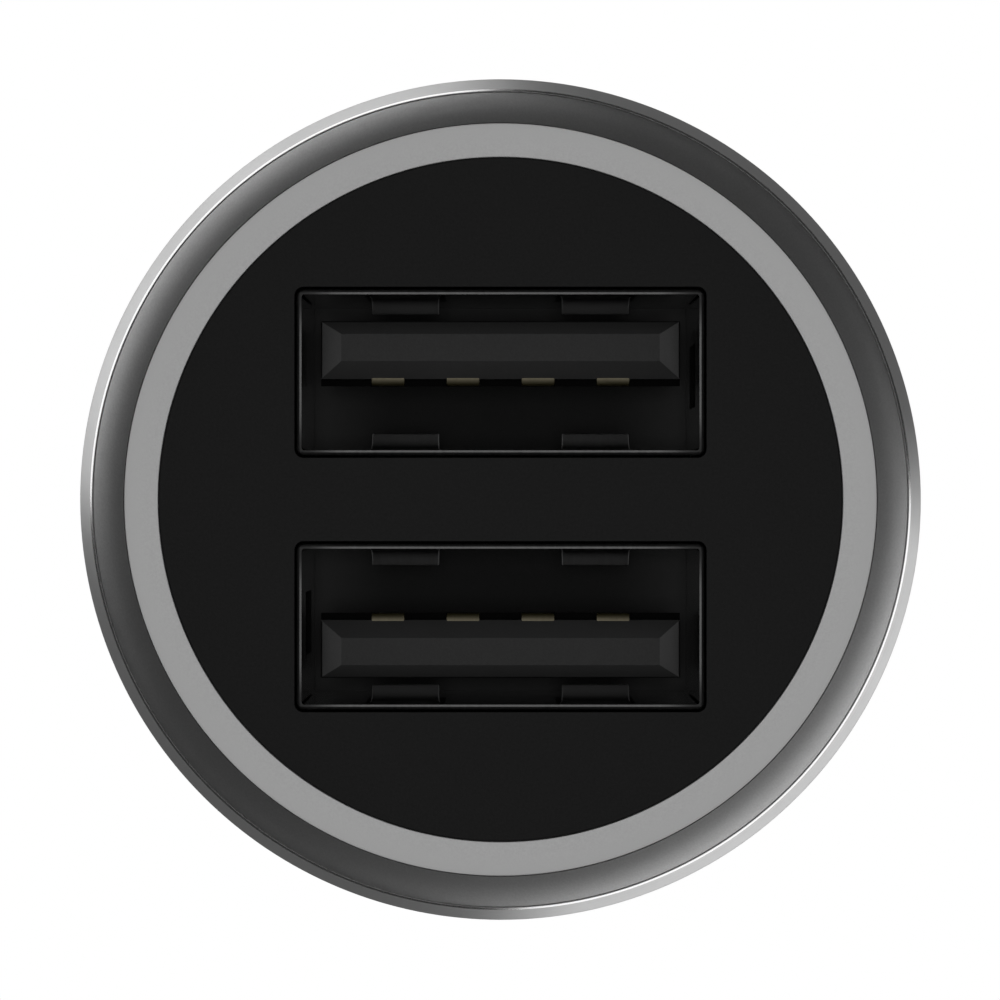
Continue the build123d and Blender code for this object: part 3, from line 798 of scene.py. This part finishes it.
# %% [markdown]
# ## Tongues and contacts
#
# Inside each port a black moulded tongue carries four gold plated strips. The tongue's tip is bevelled on all four
# sides, which the photograph shows as a lighter panel inside a darker border. It is a box whose front face is pulled
# forward and made smaller, with a small radius round the tip. A low comb behind the tip keeps the strips apart and
# shows as a dark band between them. The strips are ribbons under the tongue that turn up into it at the tip, so a
# round bend of gold shows from the front. They stand out most at the tip, where they touch a plug, sink into the
# tongue further back, run through the block and bend down to the board.

# %% Tongue
tongue_y, tongue_tip_y = -16.73, -17.23
pad_z, tongue_top_z, tongue_half = 3.736, 5.536, 5.58
nose_half, nose_low_z, nose_high_z = 4.93, 4.286, 5.126
tip_round, tongue_edge = 0.06, 0.025
tongue = block("tongue", (-tongue_half, tongue_y, pad_z), (tongue_half, block_y + 0.2, tongue_top_z))
work_on(tongue)
pick(tongue, "FACE", lambda face: face.normal.y < -0.9)
pull((0, tongue_tip_y - tongue_y, 0))
tongue_mid_z = (pad_z + tongue_top_z) / 2
bpy.ops.transform.resize(
    value=(nose_half / tongue_half, 1, (nose_high_z - nose_low_z) / (tongue_top_z - pad_z)),
    center_override=Vector((0, tongue_tip_y, tongue_mid_z)) * MM,
)
bpy.ops.transform.translate(value=(0, 0, ((nose_low_z + nose_high_z) / 2 - tongue_mid_z) * MM))


def at_tip_outline(edge):
    """An edge where the bevelled tip meets the tongue's top or one of its sides."""
    return at_depth(edge, tongue_y) and max(v.co.z / MM for v in edge.verts) > pad_z + 0.1


round_edges(tongue, at_tip_outline, tip_round, 2)
soften(tongue, tongue_edge, 2, 20)

# %% Comb, block and foot
STRIPS = 4
strip_z, strip_half, strip_pitch, strip_thickness = 3.626, 0.51, 2.33, 0.2
strip_places = [(i - (STRIPS - 1) / 2) * strip_pitch for i in range(STRIPS)]
comb_y, comb_deep, comb_low_z, comb_top_z = tongue_y + 0.1, 0.2, 3.52, pad_z + 0.1
comb_half, comb_reach = tongue_half - 0.01, strip_half + 0.02
comb_starts = [-comb_half] + [x + comb_reach for x in strip_places]
comb_ends = [x - comb_reach for x in strip_places] + [comb_half]
# The comb's front is painted nearly black further on, as shadow.
comb = [
    block("comb", (start, comb_y, comb_low_z), (end, comb_y + comb_deep, comb_top_z))
    for start, end in zip(comb_starts, comb_ends)
]
block_gap, block_edge, foot_edge = 0.001, 0.004, 0.05
block_half_x, block_half_z = port_half_x - block_gap, port_half_z - block_gap
back_block = block(
    "back_block",
    (-block_half_x, block_y, port_z - block_half_z),
    (block_half_x, port_back, port_z + block_half_z),
)
soften(back_block, block_edge)
foot = block("foot", (-foot_half, block_y + 0.02, board_z), (foot_half, port_back - 0.02, port_z - 2.3))
soften(foot, foot_edge)
usb_insulator_upper = join("tongue_upper", [tongue, back_block, foot] + comb)
smooth(usb_insulator_upper, 20)
usb_insulator_lower = turned_over(copied(usb_insulator_upper, "tongue_lower"))

# %% Contact strips
strip_front, strip_sunk, strip_end, strip_foot = tongue_y + 0.07, -10.0, -3.58, 0.9
strip_foot_z, strip_back_z, strip_top_z, strip_edge = 0.91, 3.826, strip_z + 0.26, 0.03
bend = rounded(
    [
        (strip_front, strip_top_z, 0),
        (strip_front, strip_z, 0.13),
        (strip_sunk, strip_back_z, 0),
        (strip_end, strip_back_z, 0.3),
        (strip_end, strip_foot_z, 0.3),
        (strip_end + strip_foot, strip_foot_z, 0),
    ]
)
# The bend is painted darker next to the axis further on, as shade.
strip = ribbon("strip", bend, strip_half, strip_thickness)
soften(strip, strip_edge)
strips = [moved(copied(strip, "strip_copy"), (x, 0, 0)) for x in strip_places]
bpy.data.objects.remove(strip)
usb_contacts_upper = join("contact_strips_upper", strips)
smooth(usb_contacts_upper)
usb_contacts_lower = turned_over(copied(usb_contacts_upper, "contact_strips_lower"))

# %% [markdown]
# ## Ground springs
#
# Each ground spring is a strip of spring steel with a rolled eye in front that hooks into the carrier, a bow that
# stands out of the barrel's window and presses on the socket's wall, and a flat lip that slides inside the barrel.
# The strip's side view is one drawn line: round the eye, along the bow and out on the lip.


# %% Bend the springs
def through(first, middle, last, steps):
    """Points on the arc through three points."""
    a, b, c = Vector(first), Vector(middle), Vector(last)
    d = 2 * (a.x * (b.y - c.y) + b.x * (c.y - a.y) + c.x * (a.y - b.y))
    sa, sb, sc = a.length_squared, b.length_squared, c.length_squared
    centre_x = (sa * (b.y - c.y) + sb * (c.y - a.y) + sc * (a.y - b.y)) / d
    centre_y = (sa * (c.x - b.x) + sb * (a.x - c.x) + sc * (b.x - a.x)) / d
    centre = Vector((centre_x, centre_y))
    turn = [math.atan2(p.y - centre.y, p.x - centre.x) for p in (a, b, c)]
    sweep = short_way(turn[0], turn[1]) + short_way(turn[1], turn[2])
    return around(centre, (a - centre).length, turn[0], sweep, steps)


eye, bow_top, bow_end = Vector((6.2, 8.077)), (13.25, 10.725), (20.3, 8.642)
eye_r, eye_end, eye_roll = 0.325, 7.9, math.radians(250)
spring_half, spring_thickness, spring_edge = 2.2, 0.35, 0.08
curl_r, lip = 1.2, 1.2
bow = [point for point in through(eye, bow_top, bow_end, 40) if point[0] > eye_end]
leave = Vector(bow[0]) - eye
lift = math.atan2(leave.y, leave.x) + math.acos(eye_r / leave.length)
roll = around(eye, eye_r, lift + eye_roll, -eye_roll, 24)
fall = math.atan2(bow[-1][1] - bow[-2][1], bow[-1][0] - bow[-2][0])
curl_centre = Vector(bow[-1]) + Vector((-math.sin(fall), math.cos(fall))) * curl_r
curl = around(curl_centre, curl_r, fall - math.pi / 2, -fall, 10)[1:]
spring_path = roll + bow + curl + [(curl[-1][0] + lip, curl[-1][1])]
ground_spring_upper = ribbon("spring_leaf_upper", spring_path, spring_half, spring_thickness)
soften(ground_spring_upper, spring_edge, 3)
smooth(ground_spring_upper)
ground_spring_lower = turned_over(copied(ground_spring_upper, "spring_leaf_lower"))

# %% [markdown]
# ## Nose, tip cap and centre contact
#
# The nose is a moulded plug in the barrel's end. The tip cap screws on it and is fluted for the fingers, and the
# nickel plated contact comes through the cap on a coil spring. Nose, cap and contact are turned. The flutes are
# round bars with a ball end, cut out of the cap, so each runs out in a soft spoon shape as a moulded flute does.

# %% Nose
plug_r, plug_y, plug_lead, wire_hole_r = 8.97, 22.8, 0.25, 2.2
chamber_r, chamber_y, neck_r, neck_end = 4.6, 24.0, 5.95, 36.0
nose_r, cone_y, cap_r, cap_y = barrel_r - 0.02, 27.0, 7.2, 32.0
nose_body = lathe(
    "nose",
    rounded(
        [
            (wire_hole_r, plug_y, 0.1),
            (plug_r - plug_lead, plug_y, 0.05),
            (plug_r, plug_y + plug_lead, 0.05),
            (plug_r, barrel_y, 0.02),
            (nose_r, barrel_y, 0.15),
            (nose_r, cone_y, 0.35),
            (cap_r, cap_y, 0.15),
            (neck_r, cap_y, 0.05),
            (neck_r, neck_end, 0.1),
            (chamber_r, neck_end, 0.1),
            (chamber_r, chamber_y, 0.1),
            (wire_hole_r, chamber_y, 0.1),
        ],
        6,
    ),
)
smooth(nose_body)

# %% Fluted tip cap
cap_end, cap_chamfer, cap_bore_r, cap_hole_r = 37.25, 0.5, 6.0, 3.06
tip_cap = lathe(
    "cap",
    rounded(
        [
            (cap_bore_r, cap_y, 0.05),
            (cap_r, cap_y, 0.15),
            (cap_r, cap_end - cap_chamfer, 0.25),
            (cap_r - cap_chamfer, cap_end, 0.25),
            (cap_hole_r, cap_end, 0.15),
            (cap_hole_r, neck_end, 0.05),
            (cap_bore_r, neck_end, 0.1),
        ],
        6,
    ),
)
FLUTES = 18
flute_r, flute_length, flute_y, flute_out = 0.42, 6, 32.6, cap_r + 0.05
flute_outline = arc((0, 0), (flute_r, flute_r), flute_r, 8) + [(flute_r, flute_length), (0, flute_length)]
bar = lathe("flute", flute_outline, 24, closed=False)
turns = [2 * math.pi * i / FLUTES for i in range(FLUTES)]
bars = [
    moved(copied(bar, "flute_copy"), (flute_out * math.cos(turn), flute_y, flute_out * math.sin(turn)))
    for turn in turns
]
bpy.data.objects.remove(bar)
cut(tip_cap, join("flutes", bars))
smooth(tip_cap, 40)

# %% Centre contact
stem_r, flange_r, nub_r, dome_r = 3.0, 4.4, 2.6, 5.0
nub_y, flange_y, flange_end, dome_y, tip_y = 33.75, 34.75, 35.95, 40.45, 41.45
dome = arc((stem_r, dome_y), (0, tip_y), dome_r, 16)
pin_corners = [
    (0, nub_y, 0),
    (nub_r, nub_y, 0.2),
    (nub_r, flange_y, 0.05),
    (flange_r, flange_y, 0.1),
    (flange_r, flange_end, 0.1),
    (stem_r, flange_end, 0.05),
    (*dome[0], 0),
]
centre_contact = lathe("contact_pin", rounded(pin_corners) + dome[1:], closed=False)
smooth(centre_contact)

# %% Coil spring behind the contact
coil_r, wire_r, coil_turns, coil_steps = 3.3, 0.3, 3.5, 168
coil_low = 24.5
coil_length = flange_y - coil_low
rest()
bpy.ops.mesh.primitive_circle_add(
    vertices=12, radius=wire_r * MM, fill_type="NOTHING", location=(coil_r * MM, (coil_low + wire_r) * MM, 0)
)
coil = named("coil")
bpy.ops.object.transform_apply(location=True, rotation=True, scale=True)
modify(
    coil,
    "SCREW",
    axis="Y",
    angle=2 * math.pi * coil_turns,
    screw_offset=(coil_length - 2 * wire_r) * MM,
    steps=coil_steps,
    render_steps=coil_steps,
    use_merge_vertices=False,
)
work_on(coil)
bpy.ops.mesh.select_mode(type="EDGE")
bpy.ops.mesh.select_all(action="DESELECT")
bpy.ops.mesh.select_non_manifold()
bpy.ops.mesh.fill_holes(sides=0)
tidy_mesh()
smooth(coil)

# %% [markdown]
# ## Patterns and masks for the finishes
#
# Four patterns serve all the finishes. Grain is the fine speckle of blasted metal and of moulded plastic. Turning
# marks are thin rings round the axis, left by a lathe tool. Brush marks run along the plug, as on rolled strip. Cloud
# is a soft unevenness that varies the gloss. Each is a node group that reads the piece's own coordinates and puts out
# a value from 0 to 1, so every material can use it at its own scale.
#
# Seven masks tell where a point lies. In a port they find the corners, where the bright edge is painted darker as
# shade, the rim of the block beside the tongue, which is painted greyer as light, the root of a spring leaf, which is
# painted dark as shade, the leaves on the side away from the axis, which are painted paler as light, and the part of a
# contact's bend next to the axis, which is painted darker as shade. On the shell they find the edge of the dish along
# the groove, which is glossier, and on the light ring its outer side, which is painted paler as light.


# %% Pattern groups
def pattern(name, scale):
    """A node group with a Scale input and a Value output; returns it and the coordinates that it reads."""
    group = bpy.data.node_groups.new(name, "ShaderNodeTree")
    socket = group.interface.new_socket("Scale", in_out="INPUT", socket_type="NodeSocketFloat")
    socket.default_value = scale
    group.interface.new_socket("Value", in_out="OUTPUT", socket_type="NodeSocketFloat")
    return group, place_in(group)


def put_out(group, value):
    """Send a value to a group's output."""
    feed(group, group.nodes.new("NodeGroupOutput"), {"Value": value})


def noise_value(group, socket, place, detail, low, high):
    """Add noise to a group, stretch it between two levels and send it to the group's output."""
    scale = group.nodes.new("NodeGroupInput").outputs["Scale"]
    sockets = {socket: place, "Scale": scale, "Detail": detail, "Roughness": 0.6}
    noise = add_node(group, "TexNoise", sockets, noise_dimensions="1D" if socket == "W" else "3D")
    put_out(group, spread(group, noise.outputs["Fac"], low, high))


grain, place = pattern("grain", 12000)
noise_value(grain, "Vector", place, 2, 0.3, 0.7)

cloud, place = pattern("cloud", 300)
noise_value(cloud, "Vector", place, 3, 0.3, 0.7)

brush_marks, place = pattern("brush_marks", 9000)
squeeze = add_node(brush_marks, "VectorMath", {0: place, 1: (1, 0.015, 0.15)}, operation="MULTIPLY")
noise_value(brush_marks, "Vector", squeeze.outputs["Vector"], 3, 0.3, 0.7)

turning_marks, place = pattern("turning_marks", 16000)
flat = add_node(turning_marks, "VectorMath", {0: place, 1: (1, 0, 1)}, operation="MULTIPLY")
radius = add_node(turning_marks, "VectorMath", {0: flat.outputs["Vector"]}, operation="LENGTH")
deep = add_node(turning_marks, "SeparateXYZ", {0: place}).outputs["Y"]
rings = add_node(turning_marks, "Math", {0: deep, 1: 0.6, 2: radius.outputs["Value"]}, operation="MULTIPLY_ADD")
noise_value(turning_marks, "W", rings.outputs["Value"], 3, 0.25, 0.75)
PATTERNS = {"grain": grain, "cloud": cloud, "brush_marks": brush_marks, "turning_marks": turning_marks}
print("patterns:", sorted(PATTERNS))


# %% Masks by place
def mask(name):
    """A node group with only a Value output; returns it, a way to calculate in it, and the piece's X, Y and Z."""
    group = bpy.data.node_groups.new(name, "ShaderNodeTree")
    group.interface.new_socket("Value", in_out="OUTPUT", socket_type="NodeSocketFloat")
    axes = add_node(group, "SeparateXYZ", {0: place_in(group)}).outputs

    def calculate(operation, *values):
        """One math node; its inputs are outputs of other nodes or numbers."""
        return add_node(group, "Math", dict(enumerate(values)), operation=operation).outputs[0]

    return group, calculate, axes


def mask_value(group, value, low, high):
    """Send a value, stretched softly from 0 at low to 1 at high, to a group's output; low and high are in mm."""
    put_out(group, spread(group, value, low * MM, high * MM, way="SMOOTHSTEP"))
    print("mask:", group.name)


def off_axis(calculate, axes):
    """A point's distance from the plug's axis."""
    squares = [calculate("MULTIPLY", axes[axis], axes[axis]) for axis in ("X", "Z")]
    return calculate("SQRT", calculate("ADD", *squares))


# %% Masks in the ports
# Painted shade: the bright edge of a port's opening is darker in its corners.
port_corner_shade, do, axes = mask("port_corner_shade")
across = do("SUBTRACT", do("ABSOLUTE", axes["X"]), (port_half_x - port_half_z) * MM)
upright = do("SUBTRACT", do("ABSOLUTE", axes["Z"]), port_z * MM)
mask_value(port_corner_shade, do("MINIMUM", across, do("ABSOLUTE", upright)), 1.0, 2.3)

# Painted light: the block's rim beside the tongue is paler.
rim_start, rim_reach = 3.4, 3
block_rim_light, do, axes = mask("block_rim_light")
outward = do("SUBTRACT", do("ABSOLUTE", axes["X"]), rim_start * MM)
above = do("SUBTRACT", do("ABSOLUTE", axes["Z"]), tongue_top_z * MM)
deep = do("SUBTRACT", axes["Y"], (block_y - 1) * MM)
beside = do("MAXIMUM", outward, do("MULTIPLY", above, 3))
mask_value(block_rim_light, do("MINIMUM", do("MULTIPLY", deep, 4), beside), 0, rim_reach)

# Painted shade: a spring leaf is dark towards its root.
leaf_root_shade, do, axes = mask("leaf_root_shade")
mask_value(leaf_root_shade, axes["Y"], leaf_y + 1.5, leaf_y + 0.8)

# Painted light: the leaves on the side away from the axis are paler.
outer_leaf_light, do, axes = mask("outer_leaf_light")
mask_value(outer_leaf_light, do("ABSOLUTE", axes["Z"]), port_z, port_z + port_half_z / 2)

# Painted shade: a contact's bend is darker next to the axis.
contact_bend_shade, do, axes = mask("contact_bend_shade")
mask_value(contact_bend_shade, do("ABSOLUTE", axes["Z"]), pad_z + 0.13, strip_z - 0.06)

# %% Masks on the rim and the ring
edge_wide, dish_foot = 0.25, 0.15
dish_edge, do, axes = mask("dish_edge")
outward = do("SUBTRACT", off_axis(do, axes), (groove_r - edge_wide) * MM)
ahead = do("SUBTRACT", (face_y - dish_foot) * MM, axes["Y"])
mask_value(dish_edge, do("MINIMUM", outward, ahead), 0, edge_wide)

# Painted light: the ring is paler towards its outer side, against the shade of the dish.
ring_edge_light, do, axes = mask("ring_edge_light")
mask_value(ring_edge_light, off_axis(do, axes), ring_inner_r, ring_r + 0.1)

# %% [markdown]
# ## Finishes
#
# Every finish has the same few nodes. A fine pattern mixes two close colours and raises a relief of a few thousandths
# of a millimetre, and the cloud varies the roughness between two values. What differs is which pattern is used, at
# which scale, and whether the surface is metal. Numbers that are the same all over are set on the shader itself. Where
# a mask says so, a finish goes over to another colour or roughness.


# %% One finish from its colours, roughness and pattern
def finish(name, dark, light, rough, kind, scale, relief, metal=0.0, level=0.5):
    """A procedural material. Colours are (r, g, b, 1), rough is (least, most), relief is in mm."""
    material = bpy.data.materials.new(name)
    material.use_nodes = True
    tree = material.node_tree
    fine = add_node(tree, "Group", {"Scale": scale}, node_tree=PATTERNS[kind]).outputs["Value"]
    soft = add_node(tree, "Group", node_tree=cloud).outputs["Value"]
    colour = add_node(tree, "Mix", {"Factor": fine, "A": dark, "B": light}, data_type="RGBA")
    bump = add_node(tree, "Bump", {"Distance": relief * MM, "Height": fine})
    surface = {
        "Base Color": colour.outputs["Result"],
        "Roughness": spread(tree, soft, 0, 1, *rough),
        "Normal": bump.outputs["Normal"],
        "Metallic": metal,
        "Specular IOR Level": level,
    }
    feed(tree, tree.nodes["Principled BSDF"], surface)
    return material


def grey(value):
    """A neutral colour."""
    return (value, value, value, 1)


# %% Metals
blasted = finish("blasted_aluminium", grey(0.66), grey(0.72), (0.48, 0.51), "grain", 14000, 0.002, 0.9)
bare = finish("bare_aluminium", grey(0.66), grey(0.72), (0.48, 0.51), "grain", 14000, 0.002, 1)
turned = finish("turned_aluminium", grey(0.57), grey(0.62), (0.30, 0.36), "turning_marks", 30000, 0.0006, 0.89)
polished = finish("polished_aluminium", grey(0.86), grey(0.90), (0.15, 0.20), "turning_marks", 40000, 0.0003, 1)
groove_grey = finish("groove_grey", grey(0.72), grey(0.80), (0.50, 0.60), "grain", 14000, 0.001, 1)
nickel_sheet = finish("nickel_sheet", grey(0.56), grey(0.62), (0.08, 0.12), "brush_marks", 9000, 0.0001, 1)
# Dark metal painted as shade on the outer radius of a port's lip and on the far ends of the leaf windows.
painted_shade_nickel = finish("painted_shade_nickel", grey(0.05), grey(0.07), (0.30, 0.40), "brush_marks", 9000, 0.0006, 0.9)
# Leaf tips: rubbed metal, also painted paler as a highlight.
rubbed_and_highlight_nickel = finish("rubbed_and_highlight_nickel", grey(0.11), grey(0.13), (0.30, 0.40), "brush_marks", 9000, 0.0006, 0.78)
# Bare cut edge, also painted paler as a highlight round the opening and on the leaves' side edges.
bare_edge_and_highlight = finish("bare_edge_and_highlight", grey(0.11), grey(0.14), (0.40, 0.50), "brush_marks", 9000, 0.0006, 0.3)
can = finish("can_metal", grey(0.66), grey(0.74), (0.28, 0.38), "turning_marks", 8000, 0.001, 1)

dull, pale = (0.25, 0.223, 0.155, 1), (0.30, 0.267, 0.188, 1)
gold = finish("dull_gold", dull, pale, (0.32, 0.42), "brush_marks", 12000, 0.0006, 0.5)
spring_steel = finish("steel_strip", grey(0.58), (0.68, 0.67, 0.65, 1), (0.22, 0.32), "brush_marks", 7000, 0.001, 0.85)
dull, pale = (0.66, 0.63, 0.58, 1), (0.74, 0.71, 0.66, 1)
nickel = finish("nickel", dull, pale, (0.14, 0.22), "turning_marks", 9000, 0.0008, 1)
dull, pale = (0.62, 0.47, 0.20, 1), (0.72, 0.56, 0.26, 1)
brass = finish("brass_sheet", dull, pale, (0.25, 0.35), "brush_marks", 6000, 0.001, 1)
print("metals:", len(bpy.data.materials))

# %% Plastics, ceramics and the board
diffuser = finish("frosted_diffuser", grey(0.29), grey(0.325), (0.42, 0.5), "grain", 18000, 0.0008)
matt_black = finish("matt_black", grey(0.0079), grey(0.0099), (0.6, 0.7), "grain", 12000, 0.002, level=0.1)
# Nearly black, painted as shadow on the front of the tongue's comb.
painted_shadow_black = finish("painted_shadow_black", grey(0.001), grey(0.0015), (0.6, 0.7), "grain", 12000, 0.001, level=0.05)
tongue_black = finish("tongue_plastic", grey(0.018), grey(0.023), (0.4, 0.5), "grain", 16000, 0.0012)
# Painted paler as light on the side slopes of a tongue's tip.
side_bevel_light_black = finish("side_bevel_light_black", grey(0.036), grey(0.042), (0.35, 0.45), "grain", 16000, 0.001)
# Painted darker as shade on the tongue's slope towards the contacts, and smoother.
smooth_shade_black = finish("smooth_shade_black", grey(0.0125), grey(0.0155), (0.3, 0.4), "grain", 16000, 0.0006)
nose_black = finish("satin_black", grey(0.014), grey(0.022), (0.38, 0.5), "grain", 7000, 0.004)
carrier_black = finish("carrier_plastic", grey(0.02), grey(0.03), (0.5, 0.6), "grain", 6000, 0.004)
epoxy = finish("chip_epoxy", grey(0.018), grey(0.03), (0.55, 0.7), "grain", 9000, 0.004)
ferrite = finish("ferrite", grey(0.06), grey(0.1), (0.55, 0.75), "grain", 5000, 0.006)

dull, pale = (0.02, 0.13, 0.05, 1), (0.03, 0.18, 0.08, 1)
solder_mask = finish("solder_mask", dull, pale, (0.25, 0.4), "brush_marks", 1500, 0.003)
dull, pale = (0.70, 0.70, 0.65, 1), (0.80, 0.80, 0.76, 1)
white_ceramic = finish("white_ceramic", dull, pale, (0.3, 0.45), "grain", 5000, 0.002)
dull, pale = (0.38, 0.27, 0.15, 1), (0.50, 0.37, 0.23, 1)
tan_ceramic = finish("tan_ceramic", dull, pale, (0.35, 0.5), "grain", 5000, 0.002)
print("finishes:", len(bpy.data.materials))


# %% Another colour or roughness where a mask says so
def change(material, socket, group, value):
    """Lead one input of a finish over to another value by a mask."""
    tree = material.node_tree
    shader = tree.nodes["Principled BSDF"]
    where = add_node(tree, "Group", node_tree=group).outputs["Value"]
    ends = {"Factor": where, "A": shader.inputs[socket].links[0].from_socket, "B": value}
    blend = add_node(tree, "Mix", ends, data_type="RGBA" if socket == "Base Color" else "FLOAT")
    feed(tree, shader, {socket: blend.outputs["Result"]})
    print(material.name, "changes its", socket, "by", group.name)


change(bare, "Roughness", dish_edge, 0.41)
# Painted shade: the bare edge is darker in the corners of a port.
change(bare_edge_and_highlight, "Base Color", port_corner_shade, grey(0.03))
# Painted shade: the gold is darker on the bend's side next to the axis.
change(gold, "Base Color", contact_bend_shade, (0.026, 0.022, 0.009, 1))
# Painted light: the leaves away from the axis are paler.
change(rubbed_and_highlight_nickel, "Base Color", outer_leaf_light, grey(0.18))
# Painted shade: the leaves are darker towards their roots.
change(rubbed_and_highlight_nickel, "Base Color", leaf_root_shade, grey(0.02))
# Painted light: the block is paler on its rim beside the tongue.
change(tongue_black, "Base Color", block_rim_light, grey(0.045))
# Painted light: the ring is paler on its outer side.
change(diffuser, "Base Color", ring_edge_light, grey(0.335))

# %% [markdown]
# ## Dressing
#
# Each new piece takes the place of its CAD solid and rides on that solid's body, and its row lists the finish slot of
# the record.
# Some pieces have more than one finish. The shell is blasted nearly everywhere, bare in the dish, turned on the front
# chamfer, polished on the crest and rough in the groove. The port shells show a bare edge round the opening, painted
# paler as a highlight, with the radius outside it painted dark as shade, and leaves that are rubbed and painted paler
# as a highlight, with cut edges painted paler as highlights. The tongues are painted paler on the side slopes of their
# ends as light, darker and smoother on the slope towards the contacts as shade, dull black as painted shade round the
# tip and under the tongue, and nearly black as painted shadow on the comb's front. Faces are picked by their place and
# by the way they look.
# The parts inside keep their CAD shape and get a finish each.

# %% New pieces
DRESS = (
    (outer_shell, "outer_shell", "housing", "shell_aluminium", blasted),
    (light_ring, "light_ring", "housing", "ring_diffuser", diffuser),
    (face_plate, "face_plate", "housing", "face_black", matt_black),
    (usb_shell_upper, "usb_shell_upper", "housing", "port_steel", nickel_sheet),
    (usb_shell_lower, "usb_shell_lower", "housing", "port_steel", nickel_sheet),
    (usb_insulator_upper, "usb_insulator_upper", "housing", "tongue_black", tongue_black),
    (usb_insulator_lower, "usb_insulator_lower", "housing", "tongue_black", tongue_black),
    (usb_contacts_upper, "usb_contacts_upper", "housing", "contact_gold", gold),
    (usb_contacts_lower, "usb_contacts_lower", "housing", "contact_gold", gold),
    (ground_spring_upper, "ground_spring_upper", "spring_upper", "spring_steel", spring_steel),
    (ground_spring_lower, "ground_spring_lower", "spring_lower", "spring_steel", spring_steel),
    (nose_body, "nose_body", "housing", "nose_black", nose_black),
    (tip_cap, "tip_cap", "housing", "nose_black", nose_black),
    (centre_contact, "centre_contact", "plunger", "tip_nickel", nickel),
    (coil, "tip_spring", "housing", "spring_steel", spring_steel),
)
for piece, node, body, slot, material in DRESS:
    piece.data.materials.clear()
    piece.data.materials.append(material)
    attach(piece, body)
    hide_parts(node)
print("pieces:", len(DRESS))


# %% Dish, chamfer, crest and groove of the shell
def middle_and_normal(face):
    """A face's middle in mm and its normal; what lies below the axis is turned over, as the lower port is."""
    middle, normal = face.calc_center_median() / MM, face.normal
    side = -1 if middle.z < 0 else 1
    turn = Vector((side, 1, side))
    return middle * turn, normal * turn


def paint(piece, material, test):
    """Give the faces whose middle and normal pass a test a material of their own."""
    piece.data.materials.append(material)
    work_on(piece)
    count = pick(piece, "FACE", lambda face: test(*middle_and_normal(face)))
    piece.active_material_index = len(piece.data.materials) - 1
    bpy.ops.object.material_slot_assign()
    rest()
    print(piece.name, material.name, "on", count, "faces")


def on_rim(least, most, back):
    """A test for faces between two radii and in front of a place on the axis, all in mm."""
    return lambda p, n: least < math.hypot(p.x, p.z) < most and p.y < back


rim_back = outline_y + 0.01
paint(outer_shell, bare, on_rim(seat_r, groove_r, face_y))
paint(outer_shell, turned, on_rim(chamfer_r, head_r, rim_back))
paint(outer_shell, polished, on_rim(crest_r, chamfer_r, rim_back))
paint(outer_shell, groove_grey, on_rim(groove_r, crest_r, rim_back))

# %% Bare front edge and rubbed leaves of the port shells, with painted highlights and painted shade
lip_end = port_wall - lip_round


def on_lip(p, n):
    """The narrow flat round a port's opening, and the small radius inside it: a bare edge, also painted paler as a
    highlight.
    """
    return from_inner_wall(p) < lip_end and p.y < port_y + 0.02 and n.y < -0.3


def on_painted_shade_metal(p, n):
    """The large radius outside that flat, and the far ends of the leaves' windows: both painted dark as shade."""
    lip_outside = from_inner_wall(p) > lip_end and p.y < port_y + lip_round
    return lip_outside or (p.y > leaf_y + leaf_length and n.y < -0.5)


def in_leaf(p):
    """Where a spring leaf stands into the opening."""
    return leaf_y + 0.15 < p.y < leaf_y + 1.75 and abs(p.z - port_z) < port_half_z - 0.01


def on_leaf_tip(p, n):
    """The front of a spring leaf, which is rubbed and also painted paler as a highlight."""
    return in_leaf(p) and n.y < -0.02


def on_leaf_side(p, n):
    """The left or right edge of a spring leaf, painted paler as a highlight."""
    return in_leaf(p) and abs(p.x) < port_half_x - 1 and abs(n.x) > 0.3


for port_shell in (usb_shell_upper, usb_shell_lower):
    paint(port_shell, bare_edge_and_highlight, on_lip)
    paint(port_shell, painted_shade_nickel, on_painted_shade_metal)
    paint(port_shell, rubbed_and_highlight_nickel, on_leaf_tip)
    paint(port_shell, bare_edge_and_highlight, on_leaf_side)


# %% Painted light and painted shade on the ends and sides of the tongues
def on_bevel(p, n):
    """A slope at a tongue's tip."""
    return p.y < tongue_y + 0.02 and n.y < -0.4


def on_side_bevel(p, n):
    """A slope to the left or the right at a tongue's tip, painted paler as light."""
    return on_bevel(p, n) and abs(n.x) > 0.4


def on_inner_bevel(p, n):
    """A slope towards the contacts at a tongue's tip, painted darker as shade."""
    return on_bevel(p, n) and n.z < -0.4


def on_painted_shade_side(p, n):
    """The contacts' side of a tongue behind its tip, and the radius between the tip and the outer sides, both painted
    dark as shade.
    """
    underside = tongue_y < p.y < block_y + 0.5 and n.z < -0.9
    return underside or (p.y < tongue_y + 0.07 and -0.62 < n.y < -0.02 and n.z > -0.002)


def on_comb_front(p, n):
    """The front of the comb between the contact strips, painted nearly black as shadow."""
    return abs(p.y - comb_y) < 0.01 and n.y < -0.9


for tongue_piece in (usb_insulator_upper, usb_insulator_lower):
    paint(tongue_piece, side_bevel_light_black, on_side_bevel)
    paint(tongue_piece, smooth_shade_black, on_inner_bevel)
    paint(tongue_piece, matt_black, on_painted_shade_side)
    paint(tongue_piece, painted_shadow_black, on_comb_front)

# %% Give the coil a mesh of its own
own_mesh(coil)

# %% Parts that keep their CAD shape
INSIDE = {
    "main_board": solder_mask,
    "carrier_upper": carrier_black,
    "carrier_lower": carrier_black,
    "positive_terminal": brass,
    "power_inductor": ferrite,
    "input_capacitor": can,
    "output_capacitor": can,
    "converter_chip": epoxy,
    "charging_chip": epoxy,
    "rectifier": epoxy,
    "input_fuse": white_ceramic,
    "indicator_leds": white_ceramic,
    "chip_capacitors": tan_ceramic,
    "chip_resistors": epoxy,
}
for node, material in INSIDE.items():
    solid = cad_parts[node]
    for place in solid.material_slots:
        place.material = material
print("inside parts:", len(INSIDE))
